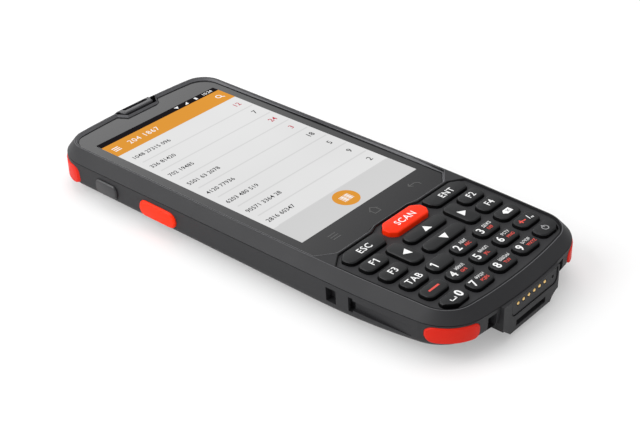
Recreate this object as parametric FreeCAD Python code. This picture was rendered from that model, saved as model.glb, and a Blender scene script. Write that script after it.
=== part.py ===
"""Portable barcode data terminal: housings, glass, keypad, side triggers, dock end and inner pieces, one STEP each.

Millimetres. +X is the right side, +Y runs towards the earpiece, +Z leaves the display. The origin is on the floor
under the middle of the device, which lies on its back.
"""

import FreeCAD, Part
import math
import os

Vector = FreeCAD.Vector

# overall form
LENGTH = 160.0
WIDTH = 66.8
RIM_HEIGHT = 15.5
PARTING_HEIGHT = 12.05
PARTING_RISE = 1.1  # the parting line climbs this much from the top end to the bottom end
BLOCK_PROUD = 0.6  # the dock block stands out of the bottom end
WALL = 2.0
FLOOR = 1.8
SEAM = 0.2

# plan curves
TOP_CROWN = 300.0
BOTTOM_CROWN = 150.0
PARTING_CORNER = 13.5
CREASE_CORNER_TOP = 8.0
CREASE_CORNER_BOTTOM = 9.5
TAPER_LENGTH = 43.4
TAPER_RADIUS = 320.0
BEVEL_SIDE = 2.5
BEVEL_TOP = 3.9
BEVEL_BOTTOM = 2.8
CREASE_TAPER_LENGTH = 66.6
CREASE_TAPER_RADIUS = 1000.0
CREASE_SOFTENING = 0.35
SIDE_DRAFT = 0.6

# underside
CHINE_HEIGHT = 2.9
CHINE_END_HEIGHT = 6.2
CHINE_RISE_LENGTH = 52.0
CHINE_FILLET = 2.6
BELLY_TOP_HALF = 27.0
BELLY_BASE_HALF = 31.0
BELLY_BASE_HEIGHT = 6.0
BELLY_LIP_HALF = 8.3
BELLY_LIP_BASE_HALF = 12.5
BELLY_LIP_HEIGHT = 1.9
BELLY_RISE_LENGTH = 14.0

# glass and display
RIM_LAND = 1.0
GLASS_DROP = 0.8
GLASS_THICKNESS = 1.1
GLASS_GAP = 0.08
DECK_THICKNESS = 1.2
RIDGE = 1.3
SCAN_STEP = 0.9
DISPLAY_WIDTH = 55.0
DISPLAY_LENGTH = 93.0
DISPLAY_THICKNESS = 1.5
DISPLAY_GAP = 0.3

# earpiece
NOTCH_HALF_TOP = 8.6
NOTCH_HALF_BOTTOM = 6.4
NOTCH_DEPTH = 3.4
BRIDGE_HALF_TOP = 7.4
BRIDGE_HALF_BOTTOM = 6.0
BRIDGE_DEPTH = 4.6
EAR_SLOT_LENGTH = 10.4
EAR_SLOT_WIDTH = 1.4

# keypad
KEYPAD_LENGTH = 43.4
PLATE_DROP = 0.6
PLATE_THICKNESS = 1.1
PLATE_GAP = 0.12
PLATE_LEDGE = 1.0
KEY_GAP = 0.2
KEY_HEIGHT = 1.24  # top of a key over the plate
SCAN_HEIGHT = 1.6
KEY_RADIUS = 1.9
KEY_CHAMFER = 0.35
KEY_FLANGE = 0.45
KEY_FLANGE_THICKNESS = 0.6
KEY_TRAVEL = 0.8
COLUMN_GAP = 2.0
ROW_GAP = 1.6
ROW_SAG = 0.45
KEYPAD_FOOT = 2.5
KEYPAD_HEAD = 1.8
STEM = 2.4
MAT_THICKNESS = 0.7
BOARD_THICKNESS = 1.0

# side controls
BUTTON_LENGTH = 9.4
BUTTON_HEIGHT = 4.8
BUTTON_FROM_TOP = 27.3
TRIGGER_LENGTH = 15.5
TRIGGER_HEIGHT = 5.4
TRIGGER_FROM_TOP = 50.0
CONTROL_LEVEL = 7.3
CONTROL_PROUD = 0.55
CONTROL_GAP = 0.12
CONTROL_FLANGE = 0.9
CONTROL_TRAVEL = 0.8

# bumpers
BUMPER_DEPTH = 1.3
BUMPER_PROUD = 0.25
BUMPER_GAP = 0.08

# dock end
BLOCK_HALF = 13.25
DOCK_LEFT = 9.3
DOCK_RIGHT = 12.4
DOCK_DEPTH = 1.6
DOCK_BOTTOM = 7.0
PIN_COUNT = 6
PIN_PITCH = 2.54
PIN_RADIUS = 0.75
PIN_LEVEL = 10.2
MICROPHONE_X = 10.3
LIP_SLOT_HALF = 7.0
STRAP_HOLE_X = 16.2
STRAP_HOLE_WIDTH = 3.3
STRAP_HOLE_HEIGHT = 4.2

# battery bay
BATTERY_WIDTH = 47.0
BATTERY_LENGTH = 70.0
BATTERY_THICKNESS = 6.0
BATTERY_GAP = 0.3
SKIRT = 1.0
COVER_THICKNESS = 1.6
COVER_LAND = 2.5
COVER_GAP = 0.12
BAY_CENTRE = -12.0

# inner pieces
MAIN_BOARD_WIDTH = 47.0
SCREW_RADIUS = 1.0
SCREW_HEAD_RADIUS = 1.9
SCREW_HEAD_HEIGHT = 1.3
BOSS_RADIUS = 2.7
BOSS_MEETING = 8.4
SCAN_ENGINE_Z = 4.6

TOP = LENGTH / 2
BOTTOM = -LENGTH / 2
HALF = WIDTH / 2
BODY_BOTTOM = BOTTOM + BLOCK_PROUD
CREASE_HALF = HALF - BEVEL_SIDE
CREASE_TOP = TOP - BEVEL_TOP
CREASE_BOTTOM = BODY_BOTTOM + BEVEL_BOTTOM
GLASS_TOP_Z = RIM_HEIGHT - GLASS_DROP
GLASS_SEAT_Z = GLASS_TOP_Z - GLASS_THICKNESS
DECK_Z = GLASS_SEAT_Z - DECK_THICKNESS
KEYPAD_BOTTOM = CREASE_BOTTOM + RIM_LAND
KEYPAD_TOP = KEYPAD_BOTTOM + KEYPAD_LENGTH
GLASS_BOTTOM = KEYPAD_TOP + RIDGE - SCAN_STEP
DISPLAY_Y = (CREASE_TOP + GLASS_BOTTOM) / 2 + 0.3
PLATE_TOP_Z = RIM_HEIGHT - PLATE_DROP
PLATE_BOTTOM_Z = PLATE_TOP_Z - PLATE_THICKNESS
KEY_TOP_Z = PLATE_TOP_Z + KEY_HEIGHT
SCAN_TOP_Z = PLATE_TOP_Z + SCAN_HEIGHT
FLANGE_TOP_Z = PLATE_BOTTOM_Z - 0.05
FLANGE_BOTTOM_Z = FLANGE_TOP_Z - KEY_FLANGE_THICKNESS
MAT_TOP_Z = FLANGE_BOTTOM_Z - KEY_TRAVEL - 0.15
KEY_BOARD_TOP_Z = MAT_TOP_Z - MAT_THICKNESS
KEYPAD_HALF = CREASE_HALF - RIM_LAND - 1.35
COLUMN_PITCH = (2 * KEYPAD_HALF - 3.1) / 5
KEY_WIDTH = COLUMN_PITCH - COLUMN_GAP
ROW_PITCH = (KEYPAD_LENGTH - KEYPAD_FOOT - KEYPAD_HEAD) / 6
KEY_DEPTH = ROW_PITCH - ROW_GAP
BAY_HALF = BATTERY_WIDTH / 2 + BATTERY_GAP + SKIRT + COVER_GAP
BAY_LENGTH = BATTERY_LENGTH + 2 * (BATTERY_GAP + SKIRT + COVER_GAP)
BATTERY_Z = COVER_THICKNESS + 0.3
BAY_TOP_Z = BATTERY_Z + BATTERY_THICKNESS + 0.3
BOARD_LEVEL = BAY_TOP_Z + 1.8


def vec(x, y, z=0.0):
    return Vector(x, y, z)


def box(x0, x1, y0, y1, z0, z1):
    return Part.makeBox(x1 - x0, y1 - y0, z1 - z0, vec(x0, y0, z0))


def prism(wire, z0, z1):
    """Solid between two heights over a flat wire drawn at height 0."""
    solid = Part.Face(wire).extrude(vec(0, 0, z1 - z0))
    solid.translate(vec(0, 0, z0))
    return solid


def raised(wire, z):
    copy = wire.copy()
    copy.translate(vec(0, 0, z))
    return copy


def ruled(lower, upper):
    return Part.makeLoft([lower, upper], True, True)


def fused(solids):
    whole = solids[0]
    if len(solids) > 1:
        whole = whole.fuse(solids[1:])
    return whole.removeSplitter()


def mirrored(shape):
    return shape.mirror(vec(0, 0), vec(1, 0))


def both_sides(shape):
    return [shape, mirrored(shape)]


def inset(wire, distance):
    """Flat wire moved inwards by a distance, or outwards by a negative one."""
    if abs(distance) < 1e-6:
        return wire.copy()
    return wire.makeOffset2D(-distance)


def fillet_points(corner, before, after, radius):
    """Start, middle and end of the arc that rounds a corner."""
    a = (before - corner).normalize()
    b = (after - corner).normalize()
    half_angle = a.getAngle(b) / 2
    run = radius / math.tan(half_angle)
    middle = (a + b).normalize()
    reach = radius / math.sin(half_angle) - radius
    return corner + a * run, corner + middle * reach, corner + b * run


def rounded(corners):
    """Closed flat wire through (x, y, radius) corners."""
    points = [vec(x, y) for x, y, radius in corners]
    edges = []
    arcs = []
    for i, (x, y, radius) in enumerate(corners):
        before = points[i - 1]
        after = points[(i + 1) % len(points)]
        if radius > 0:
            arcs.append(fillet_points(points[i], before, after, radius))
        else:
            arcs.append((points[i], None, points[i]))
    for i, (start, middle, end) in enumerate(arcs):
        if middle is not None:
            edges.append(Part.Arc(start, middle, end).toShape())
        following = arcs[(i + 1) % len(arcs)][0]
        if (following - end).Length > 1e-6:
            edges.append(Part.LineSegment(end, following).toShape())
    return Part.Wire(Part.__sortEdges__(edges))


def symmetric(half_corners):
    """Rounded wire from the corners of its right half, listed from the top down."""
    left = [(-x, y, radius) for x, y, radius in reversed(half_corners) if x > 1e-6]
    return rounded(half_corners + left)


def rectangle(x0, x1, y0, y1, radius):
    return rounded([(x0, y0, radius), (x1, y0, radius), (x1, y1, radius), (x0, y1, radius)])


def circle_meeting(first, first_radius, second, second_radius, side):
    """Centre at given distances from two centres, on the outer right, above or below them."""
    apart = second - first
    span = apart.Length
    along = (first_radius**2 - second_radius**2 + span**2) / (2 * span)
    across = math.sqrt(first_radius**2 - along**2)
    unit = apart * (1 / span)
    normal = vec(-unit.y, unit.x) * side
    return first + unit * along + normal * across


def body_outline(half, top, bottom, taper_length, taper_radius, corner_top, corner_bottom):
    """Plan outline with crowned ends, sides that taper towards the bottom and round corners."""
    taper_start = bottom + taper_length
    crown = vec(0, top - TOP_CROWN)
    upper_x = half - corner_top
    upper_y = crown.y + math.sqrt((TOP_CROWN - corner_top) ** 2 - upper_x**2)
    upper = vec(upper_x, upper_y)
    taper = vec(half - taper_radius, taper_start)
    base = vec(0, bottom + BOTTOM_CROWN)
    lower = circle_meeting(base, BOTTOM_CROWN - corner_bottom, taper, taper_radius - corner_bottom, 1)
    crown_end = upper + (upper - crown).normalize() * corner_top
    side_top = vec(half, upper_y)
    side_bottom = vec(half, taper_start)
    taper_end = lower + (lower - taper).normalize() * corner_bottom
    base_end = lower + (lower - base).normalize() * corner_bottom
    taper_middle = taper + ((side_bottom - taper) + (taper_end - taper)).normalize() * taper_radius
    upper_middle = upper + ((crown_end - upper) + (side_top - upper)).normalize() * corner_top
    lower_middle = lower + ((taper_end - lower) + (base_end - lower)).normalize() * corner_bottom
    right = [
        Part.Arc(crown_end, upper_middle, side_top).toShape(),
        Part.LineSegment(side_top, side_bottom).toShape(),
        Part.Arc(side_bottom, taper_middle, taper_end).toShape(),
        Part.Arc(taper_end, lower_middle, base_end).toShape(),
    ]
    left = [mirrored(edge) for edge in right]
    ends = [
        Part.Arc(mirrored_point(crown_end), vec(0, top), crown_end).toShape(),
        Part.Arc(base_end, vec(0, bottom), mirrored_point(base_end)).toShape(),
    ]
    return Part.Wire(Part.__sortEdges__(right + left + ends))


def mirrored_point(point):
    return vec(-point.x, point.y, point.z)


def parting_outline():
    return body_outline(HALF, TOP, BODY_BOTTOM, TAPER_LENGTH, TAPER_RADIUS, PARTING_CORNER, PARTING_CORNER)


def crease_outline():
    return body_outline(
        CREASE_HALF,
        CREASE_TOP,
        CREASE_BOTTOM,
        CREASE_TAPER_LENGTH,
        CREASE_TAPER_RADIUS,
        CREASE_CORNER_TOP,
        CREASE_CORNER_BOTTOM,
    )


def tilted(wire, z):
    """Wire lifted to a height and tipped to the slope of the parting line."""
    copy = wire.copy()
    slope = math.degrees(math.atan2(PARTING_RISE, LENGTH))
    copy.rotate(vec(0, 0), vec(1, 0), -slope)
    copy.translate(vec(0, 0, z))
    return copy


def parting_level(y):
    return PARTING_HEIGHT - PARTING_RISE * y / LENGTH


def below_parting(extra):
    """Half space under the parting line, moved up by a small amount."""
    reach = LENGTH
    low = PARTING_HEIGHT + PARTING_RISE * reach / LENGTH + extra
    high = PARTING_HEIGHT - PARTING_RISE * reach / LENGTH + extra
    profile = Part.makePolygon([vec(0, -reach, -50), vec(0, reach, -50), vec(0, reach, high), vec(0, -reach, low),
                                vec(0, -reach, -50)])
    solid = Part.Face(profile).extrude(vec(4 * HALF, 0, 0))
    solid.translate(vec(-2 * HALF, 0, 0))
    return solid


def glass_floor_wire(step_y):
    """Region above the lower edge of the glass, which steps up round the scan key."""
    low = step_y - SCAN_STEP
    reach = CREASE_HALF + 4
    return symmetric([
        (reach, TOP + 5, 0),
        (reach, low + 8.0, 0),
        (CREASE_HALF - 6.4, low, 3.0),
        (11.0, low, 1.0),
        (7.5, step_y, 1.0),
    ])


def keypad_roof_wire(extra):
    """Region below the upper edge of the keypad, which steps up round the scan key."""
    top = KEYPAD_TOP - extra
    low = top - 1.25
    reach = CREASE_HALF + 4
    return symmetric([
        (7.2, top, 1.0),
        (10.3, low, 1.0),
        (CREASE_HALF - 6.0, low, 1.2),
        (reach, low - 6.6, 0),
        (reach, BOTTOM - 5, 0),
    ])


def glass_region(gap, z0, z1):
    rim = prism(inset(crease_outline(), RIM_LAND + gap), z0, z1)
    return rim.common(prism(glass_floor_wire(GLASS_BOTTOM + gap), z0, z1))


def keypad_region(gap, z0, z1):
    rim = prism(inset(crease_outline(), RIM_LAND + gap), z0, z1)
    return rim.common(prism(keypad_roof_wire(gap), z0, z1))


def trapezoid(half_low, half_high, y_low, y_high, radius):
    return rounded([
        (-half_low, y_low, radius),
        (half_low, y_low, radius),
        (half_high, y_high, 0),
        (-half_high, y_high, 0),
    ])


def screw_places():
    return [(HALF - 8.9, TOP - 7.8), (HALF - 6.3, BOTTOM + 17.0)]


def touch_glass():
    glass = glass_region(GLASS_GAP, GLASS_SEAT_Z, GLASS_TOP_Z)
    notch = trapezoid(
        NOTCH_HALF_BOTTOM, NOTCH_HALF_TOP + 1.2, notch_bottom(), notch_bottom() + NOTCH_DEPTH + 2.0, 0.5
    )
    glass = glass.cut(prism(notch, GLASS_SEAT_Z - 1, GLASS_TOP_Z + 1))
    return glass


def notch_bottom():
    return CREASE_TOP - RIM_LAND - NOTCH_DEPTH


def display_panel():
    half = DISPLAY_WIDTH / 2
    z1 = GLASS_SEAT_Z
    return prism(
        rectangle(-half, half, DISPLAY_Y - DISPLAY_LENGTH / 2, DISPLAY_Y + DISPLAY_LENGTH / 2, 0.8),
        z1 - DISPLAY_THICKNESS,
        z1,
    )


def earpiece_bridge():
    """Raised bar across the notch, with its sound slot."""
    front = notch_bottom() + 1.5
    back = front + BRIDGE_DEPTH
    bar = prism(trapezoid(BRIDGE_HALF_BOTTOM, BRIDGE_HALF_TOP, front, back, 0.6), GLASS_SEAT_Z + 0.2, RIM_HEIGHT)
    top_edges = [edge for edge in bar.Edges if edge.BoundBox.ZMin > RIM_HEIGHT - 0.01]
    bar = bar.makeChamfer(0.3, top_edges)
    middle = (front + back) / 2
    slot = rectangle(
        -EAR_SLOT_LENGTH / 2,
        EAR_SLOT_LENGTH / 2,
        middle - EAR_SLOT_WIDTH / 2,
        middle + EAR_SLOT_WIDTH / 2,
        EAR_SLOT_WIDTH / 2 - 0.01,
    )
    return bar.cut(prism(slot, GLASS_SEAT_Z - 1, RIM_HEIGHT + 1))


def earpiece_pocket():
    front = notch_bottom() + 1.5 - 0.05
    back = front + BRIDGE_DEPTH + 0.1
    wire = trapezoid(BRIDGE_HALF_BOTTOM + 0.05, BRIDGE_HALF_TOP + 0.05, front, back, 0.6)
    return prism(wire, GLASS_SEAT_Z + 0.2, RIM_HEIGHT + 2)


def front_housing():
    parting = tilted(parting_outline(), PARTING_HEIGHT)
    crease = crease_outline()
    bevel = ruled(parting, raised(crease, RIM_HEIGHT - CREASE_SOFTENING))
    brow = ruled(
        raised(crease, RIM_HEIGHT - CREASE_SOFTENING), raised(inset(crease, CREASE_SOFTENING), RIM_HEIGHT)
    )
    shell = fused([bevel, brow])
    shell = shell.cut(glass_region(0, GLASS_SEAT_Z, RIM_HEIGHT + 2))
    notch = trapezoid(
        NOTCH_HALF_BOTTOM - 0.05, NOTCH_HALF_TOP, notch_bottom() - 0.05, notch_bottom() + NOTCH_DEPTH + 0.4, 0.5
    )
    shell = shell.cut(prism(notch, GLASS_SEAT_Z - 0.8, RIM_HEIGHT + 2))
    shell = shell.cut(earpiece_pocket())
    half = DISPLAY_WIDTH / 2 + DISPLAY_GAP
    reach = DISPLAY_LENGTH / 2 + DISPLAY_GAP
    shell = shell.cut(box(-half, half, DISPLAY_Y - reach, DISPLAY_Y + reach, 0, GLASS_SEAT_Z + 0.1))
    shell = shell.cut(keypad_region(0, PLATE_BOTTOM_Z, RIM_HEIGHT + 2))
    shell = shell.cut(keypad_region(PLATE_LEDGE, DECK_Z - 3, PLATE_BOTTOM_Z + 0.1))
    hollow = prism(inset(parting_outline(), WALL + 0.15), 0, DECK_Z)
    shell = shell.cut(hollow)
    return fused([shell, front_tongue()] + front_bosses())


def front_tongue():
    """Lip that hangs inside the wall of the back housing."""
    outer = inset(parting_outline(), WALL + 0.15)
    inner = inset(parting_outline(), WALL + 1.15)
    ring = prism(outer, DECK_Z - 1.9, DECK_Z + 0.2).cut(prism(inner, DECK_Z - 3, DECK_Z + 1))
    return ring


def front_bosses():
    bosses = []
    for x, y in screw_places():
        top = DECK_Z + 0.2 if y > KEYPAD_TOP else DECK_Z - 0.5
        outer = Part.makeCylinder(BOSS_RADIUS, top - BOSS_MEETING, vec(x, y, BOSS_MEETING))
        bore = Part.makeCylinder(SCREW_RADIUS - 0.15, 3.9, vec(x, y, BOSS_MEETING - 0.1))
        bosses.extend(both_sides(outer.cut(bore)))
    return bosses


def key_outline(x0, x1, y0, y1, radius=KEY_RADIUS, outer_radius=None, side=0):
    """Key plan with one larger outer lower corner where side says, -1 left and 1 right."""
    left = outer_radius if side < 0 else radius
    right = outer_radius if side > 0 else radius
    return [(x0, y0, left), (x1, y0, right), (x1, y1, radius), (x0, y1, radius)]


def row_y(row):
    """Centre of a key row, counted from the bottom."""
    return KEYPAD_BOTTOM + KEYPAD_FOOT + ROW_PITCH * (row + 0.5)


def cell(column, row, radius=KEY_RADIUS, outer_radius=None, side=0):
    x = column * COLUMN_PITCH
    sag = ROW_SAG if abs(column) < 2 else 0.0
    y = row_y(row) - sag
    return key_outline(
        x - KEY_WIDTH / 2, x + KEY_WIDTH / 2, y - KEY_DEPTH / 2, y + KEY_DEPTH / 2, radius, outer_radius, side
    )


def wide_key(side):
    """The wide upper keys, whose inner end slants along the scan key and outer corner along the recess."""
    y0 = row_y(5) - 2.8
    y1 = row_y(5) + 2.8
    outer = 2.5 * COLUMN_PITCH
    inner = COLUMN_PITCH - 0.3
    corners = [
        (inner, y1, 1.2),
        (outer - 2.8, y1, 2.0),
        (outer, y1 - 2.1, 1.2),
        (outer - 0.4, y0, KEY_RADIUS),
        (inner + 1.4, y0, 1.6),
        (inner + 0.2, y0 + 2.2, 1.4),
    ]
    if side > 0:
        return list(reversed(corners))
    return [(-x, y, radius) for x, y, radius in corners]


def scan_key():
    y0 = row_y(5) - 2.9
    y1 = row_y(5) + 3.55
    half = 8.6
    corners = [(6.2, y1, 1.2), (half, y1 - 2.1, 1.4), (half, y0 + 1.9, 1.4), (6.9, y0, 1.4)]
    left = [(-x, y, radius) for x, y, radius in reversed(corners)]
    return list(reversed(corners + left))


def key_plans():
    """Plan corners of every key by name."""
    up = row_y(4) - 0.25
    down = row_y(3) - 0.35
    inner = COLUMN_PITCH - 0.35
    reach = 8.3
    plans = {
        "key_escape": wide_key(-1),
        "key_enter": wide_key(1),
        "key_scan": scan_key(),
        "key_arrow_up": key_outline(-reach, reach, up - 2.2, up + 2.2),
        "key_arrow_down": key_outline(-reach, reach, down - 2.2, down + 2.2),
        "key_arrow_left": key_outline(-inner - 5.4, -inner, down - 2.1, up + 2.2),
        "key_arrow_right": key_outline(inner, inner + 5.4, down - 2.1, up + 2.2),
    }
    for name, side, row in (("f1", -1, 4), ("f2", 1, 4), ("f3", -1, 3), ("f4", 1, 3)):
        y = row_y(row)
        x0 = inner + 5.4 + COLUMN_GAP - 0.2
        x1 = 2.5 * COLUMN_PITCH - 0.25
        ends = (x0, x1) if side > 0 else (-x1, -x0)
        plans["key_" + name] = key_outline(ends[0], ends[1], y - KEY_DEPTH / 2, y + KEY_DEPTH / 2)
    rows = (
        ("tab", "one", "two", "three", "erase"),
        ("dash", "four", "five", "six", "sign"),
        ("zero", "seven", "eight", "nine", "power"),
    )
    for i, names in enumerate(rows):
        for j, name in enumerate(names):
            corner = KEY_DEPTH - KEY_RADIUS - 0.1 if name in ("zero", "power") else None
            side = (-1 if name == "zero" else 1) if corner else 0
            plans["key_" + name] = cell(j - 2, 2 - i, outer_radius=corner, side=side)
    return plans


def key_cap(name, corners):
    """Cap with a chamfered top and a retaining flange under the plate, both clear of the ledge."""
    top = SCAN_TOP_Z if name == "key_scan" else KEY_TOP_Z
    outline = rounded(corners)
    crown = inset(outline, KEY_CHAMFER)
    wall = prism(outline, FLANGE_TOP_Z, top - KEY_CHAMFER)
    cap = ruled(raised(outline, top - KEY_CHAMFER), raised(crown, top))
    bounds = outline.BoundBox
    flange = box(
        bounds.XMin - KEY_FLANGE,
        bounds.XMax + KEY_FLANGE,
        bounds.YMin - KEY_FLANGE,
        bounds.YMax + KEY_FLANGE,
        FLANGE_BOTTOM_Z,
        FLANGE_TOP_Z,
    )
    return fused([wall, cap, flange]).common(keypad_region(PLATE_LEDGE + 0.3, FLANGE_BOTTOM_Z - 1, SCAN_TOP_Z + 1))


def keypad_plate(plans):
    plate = keypad_region(PLATE_GAP, PLATE_BOTTOM_Z, PLATE_TOP_Z)
    for corners in plans.values():
        hole = inset(rounded(corners), -KEY_GAP)
        plate = plate.cut(prism(hole, PLATE_BOTTOM_Z - 1, PLATE_TOP_Z + 1))
    return plate


def key_centre(corners):
    bounds = rounded(corners).BoundBox
    return bounds.Center


def keypad_mat(plans):
    """Rubber sheet with a pad under every key."""
    sheet = keypad_region(3.4, KEY_BOARD_TOP_Z, KEY_BOARD_TOP_Z + 0.35)
    pads = []
    for corners in plans.values():
        middle = key_centre(corners)
        pads.append(
            box(
                middle.x - STEM / 2,
                middle.x + STEM / 2,
                middle.y - STEM / 2,
                middle.y + STEM / 2,
                KEY_BOARD_TOP_Z,
                MAT_TOP_Z,
            )
        )
    return clear_of_bosses(fused([sheet] + pads))


def keypad_board():
    board = keypad_region(3.4, KEY_BOARD_TOP_Z - BOARD_THICKNESS, KEY_BOARD_TOP_Z)
    return clear_of_bosses(board)


def clear_of_bosses(solid):
    for x, y in screw_places():
        for sign in (-1, 1):
            solid = solid.cut(Part.makeCylinder(BOSS_RADIUS + 0.3, 30, vec(sign * x, y, -5)))
    return solid


def belly():
    """Raised underside that carries the battery cover and narrows to the lip of the dock end."""
    end = BOTTOM
    base = symmetric([
        (BELLY_BASE_HALF - 7, TOP - 3.0, 6.0),
        (BELLY_BASE_HALF, TOP - 10.0, 6.0),
        (BELLY_BASE_HALF, BOTTOM + 24.0, 9.0),
        (BELLY_LIP_BASE_HALF, BOTTOM + 5.0, 5.0),
        (BELLY_LIP_BASE_HALF, end, 0),
    ])
    foot = symmetric([
        (BELLY_TOP_HALF - 7, TOP - 7.0, 6.0),
        (BELLY_TOP_HALF, TOP - 14.0, 6.0),
        (BELLY_TOP_HALF, BOTTOM + 26.0, 9.0),
        (BELLY_LIP_HALF, BOTTOM + 7.0, 5.0),
        (BELLY_LIP_HALF, end, 0),
    ])
    solid = ruled(foot, raised(base, BELLY_BASE_HEIGHT))
    solid = fused([solid, prism(base, BELLY_BASE_HEIGHT, BELLY_BASE_HEIGHT + 1.5)])
    wedge = Part.makePolygon([
        vec(0, BOTTOM + BELLY_RISE_LENGTH, 0),
        vec(0, BOTTOM - 1, BELLY_LIP_HEIGHT * (1 + 1 / BELLY_RISE_LENGTH)),
        vec(0, BOTTOM - 1, -1),
        vec(0, BOTTOM + BELLY_RISE_LENGTH, -1),
        vec(0, BOTTOM + BELLY_RISE_LENGTH, 0),
    ])
    cut = Part.Face(wedge).extrude(vec(2 * WIDTH, 0, 0))
    cut.translate(vec(-WIDTH, 0, 0))
    return solid.cut(cut)


def side_body():
    """Walled part of the back housing down to its rounded lower edge, which climbs towards the bottom end."""
    parting = tilted(parting_outline(), PARTING_HEIGHT - SEAM)
    lower = raised(inset(parting_outline(), SIDE_DRAFT), 0)
    solid = ruled(lower, parting)
    start = BOTTOM + CHINE_RISE_LENGTH
    rise = CHINE_END_HEIGHT - CHINE_HEIGHT
    radius = (CHINE_RISE_LENGTH**2 + rise**2) / (2 * rise)
    angle = math.asin(CHINE_RISE_LENGTH / radius) / 2
    middle = vec(0, start - radius * math.sin(angle), CHINE_HEIGHT + radius * (1 - math.cos(angle)))
    end = vec(0, BOTTOM, CHINE_END_HEIGHT)
    profile = Part.Wire([
        Part.LineSegment(vec(0, TOP + 5, CHINE_HEIGHT), vec(0, start, CHINE_HEIGHT)).toShape(),
        Part.Arc(vec(0, start, CHINE_HEIGHT), middle, end).toShape(),
        Part.LineSegment(end, vec(0, BOTTOM - 5, CHINE_END_HEIGHT)).toShape(),
        Part.LineSegment(vec(0, BOTTOM - 5, CHINE_END_HEIGHT), vec(0, BOTTOM - 5, -5)).toShape(),
        Part.LineSegment(vec(0, BOTTOM - 5, -5), vec(0, TOP + 5, -5)).toShape(),
        Part.LineSegment(vec(0, TOP + 5, -5), vec(0, TOP + 5, CHINE_HEIGHT)).toShape(),
    ])
    under = Part.Face(profile).extrude(vec(2 * WIDTH, 0, 0))
    under.translate(vec(-WIDTH, 0, 0))
    solid = solid.cut(under)
    lowest = [edge for edge in solid.Edges if edge.BoundBox.ZMax < CHINE_END_HEIGHT + 0.2 and on_outline(edge)]
    return solid.makeFillet(CHINE_FILLET, lowest)


def on_outline(edge):
    """Whether an edge follows the outside of the body rather than a seam across its underside."""
    middle = edge.valueAt((edge.FirstParameter + edge.LastParameter) / 2)
    return abs(middle.x) > HALF - 6 or middle.y > TOP - 6 or middle.y < BODY_BOTTOM + 6


def dock_block():
    z0 = BELLY_LIP_HEIGHT + 0.6
    return box(-BLOCK_HALF, BLOCK_HALF, BOTTOM, BOTTOM + 8, z0, parting_level(BOTTOM) - SEAM - 0.02).common(
        block_front()
    )


def block_front():
    """Front view of the dock block: a flat lip in the middle and higher shoulders."""
    top = parting_level(BOTTOM)
    lip = BELLY_LIP_HEIGHT
    points = [
        (-BLOCK_HALF, top), (BLOCK_HALF, top), (BLOCK_HALF, 4.6), (BELLY_LIP_BASE_HALF, 4.5), (BELLY_LIP_HALF, lip),
        (-BELLY_LIP_HALF, lip), (-BELLY_LIP_BASE_HALF, 4.5), (-BLOCK_HALF, 4.6), (-BLOCK_HALF, top),
    ]
    face = Part.Face(Part.makePolygon([vec(x, BOTTOM, z) for x, z in points]))
    return face.extrude(vec(0, 10, 0))


def back_hollow():
    """Space inside the back housing, above the battery bay and beside it."""
    inner = inset(parting_outline(), WALL)
    limit = prism(inner, 0, 20)
    chine = CHINE_HEIGHT + WALL
    bay_end = BAY_CENTRE + BAY_LENGTH / 2
    bay_start = BAY_CENTRE - BAY_LENGTH / 2
    wall_x = BAY_HALF + 1.0
    rooms = [
        box(-24.0, 24.0, bay_end + 1.5, TOP - 9.0, FLOOR, 20),
        box(-HALF, HALF, bay_end + 1.5, TOP, chine, 20),
        box(wall_x, HALF, BOTTOM + 52.0, bay_end + 2, chine, 20),
        box(-HALF, -wall_x, BOTTOM + 52.0, bay_end + 2, chine, 20),
        box(-HALF, HALF, BOTTOM + 49.0, TOP, BAY_TOP_Z + 1.2, 20),
        box(-HALF + 5.0, HALF - 5.0, BOTTOM + 4.0, BOTTOM + 50.0, BAY_TOP_Z + 1.2, 20),
        box(-11.2, 11.2, TOP - 16.0, TOP - 2.2, SCAN_ENGINE_Z - 0.2, 20),
        box(-18.0, 18.0, BOTTOM + 8.0, bay_start - 1.5, BELLY_LIP_HEIGHT + 2.6, 20),
    ]
    moat = prism(inner, DECK_Z - 2.1, 20).cut(prism(inset(parting_outline(), WALL + 1.4), 0, 21))
    clearance = []
    for x, y in screw_places():
        clearance.extend(both_sides(Part.makeCylinder(BOSS_RADIUS + 0.25, 12, vec(x, y, BOSS_MEETING))))
    return fused([fused(rooms).common(limit), moat] + clearance)


def battery_bay():
    y0 = BAY_CENTRE - BAY_LENGTH / 2
    y1 = BAY_CENTRE + BAY_LENGTH / 2
    bay = prism(rectangle(-BAY_HALF, BAY_HALF, y0, y1, 1.5), -1, BAY_TOP_Z)
    return bay.fuse(cover_plan(0, -1, COVER_THICKNESS + 0.05))


def cover_plan(gap, z0, z1):
    half = BAY_HALF + COVER_LAND - gap
    reach = BAY_LENGTH / 2 + COVER_LAND - gap
    return prism(rectangle(-half, half, BAY_CENTRE - reach, BAY_CENTRE + reach, 4.0), z0, z1)


def battery_cover():
    """Lid flush with the belly, with a skirt round the battery and a finger notch."""
    lid = cover_plan(COVER_GAP, 0, COVER_THICKNESS)
    edge = [e for e in lid.Edges if e.BoundBox.ZMax < 0.01]
    lid = lid.makeChamfer(0.3, edge)
    half = BAY_HALF - COVER_GAP
    reach = BAY_LENGTH / 2 - COVER_GAP
    outer = prism(
        rectangle(-half, half, BAY_CENTRE - reach, BAY_CENTRE + reach, 1.4), COVER_THICKNESS - 0.1, BAY_TOP_Z - 1.5
    )
    inner = box(
        -half + SKIRT, half - SKIRT, BAY_CENTRE - reach + SKIRT, BAY_CENTRE + reach - SKIRT, COVER_THICKNESS, 20
    )
    grip = Part.makeCylinder(9.0, 30, vec(-15, BAY_CENTRE + reach + COVER_LAND - 6.5, -8.45), vec(1, 0, 0))
    return fused([lid, outer.cut(inner)]).cut(grip)


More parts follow.
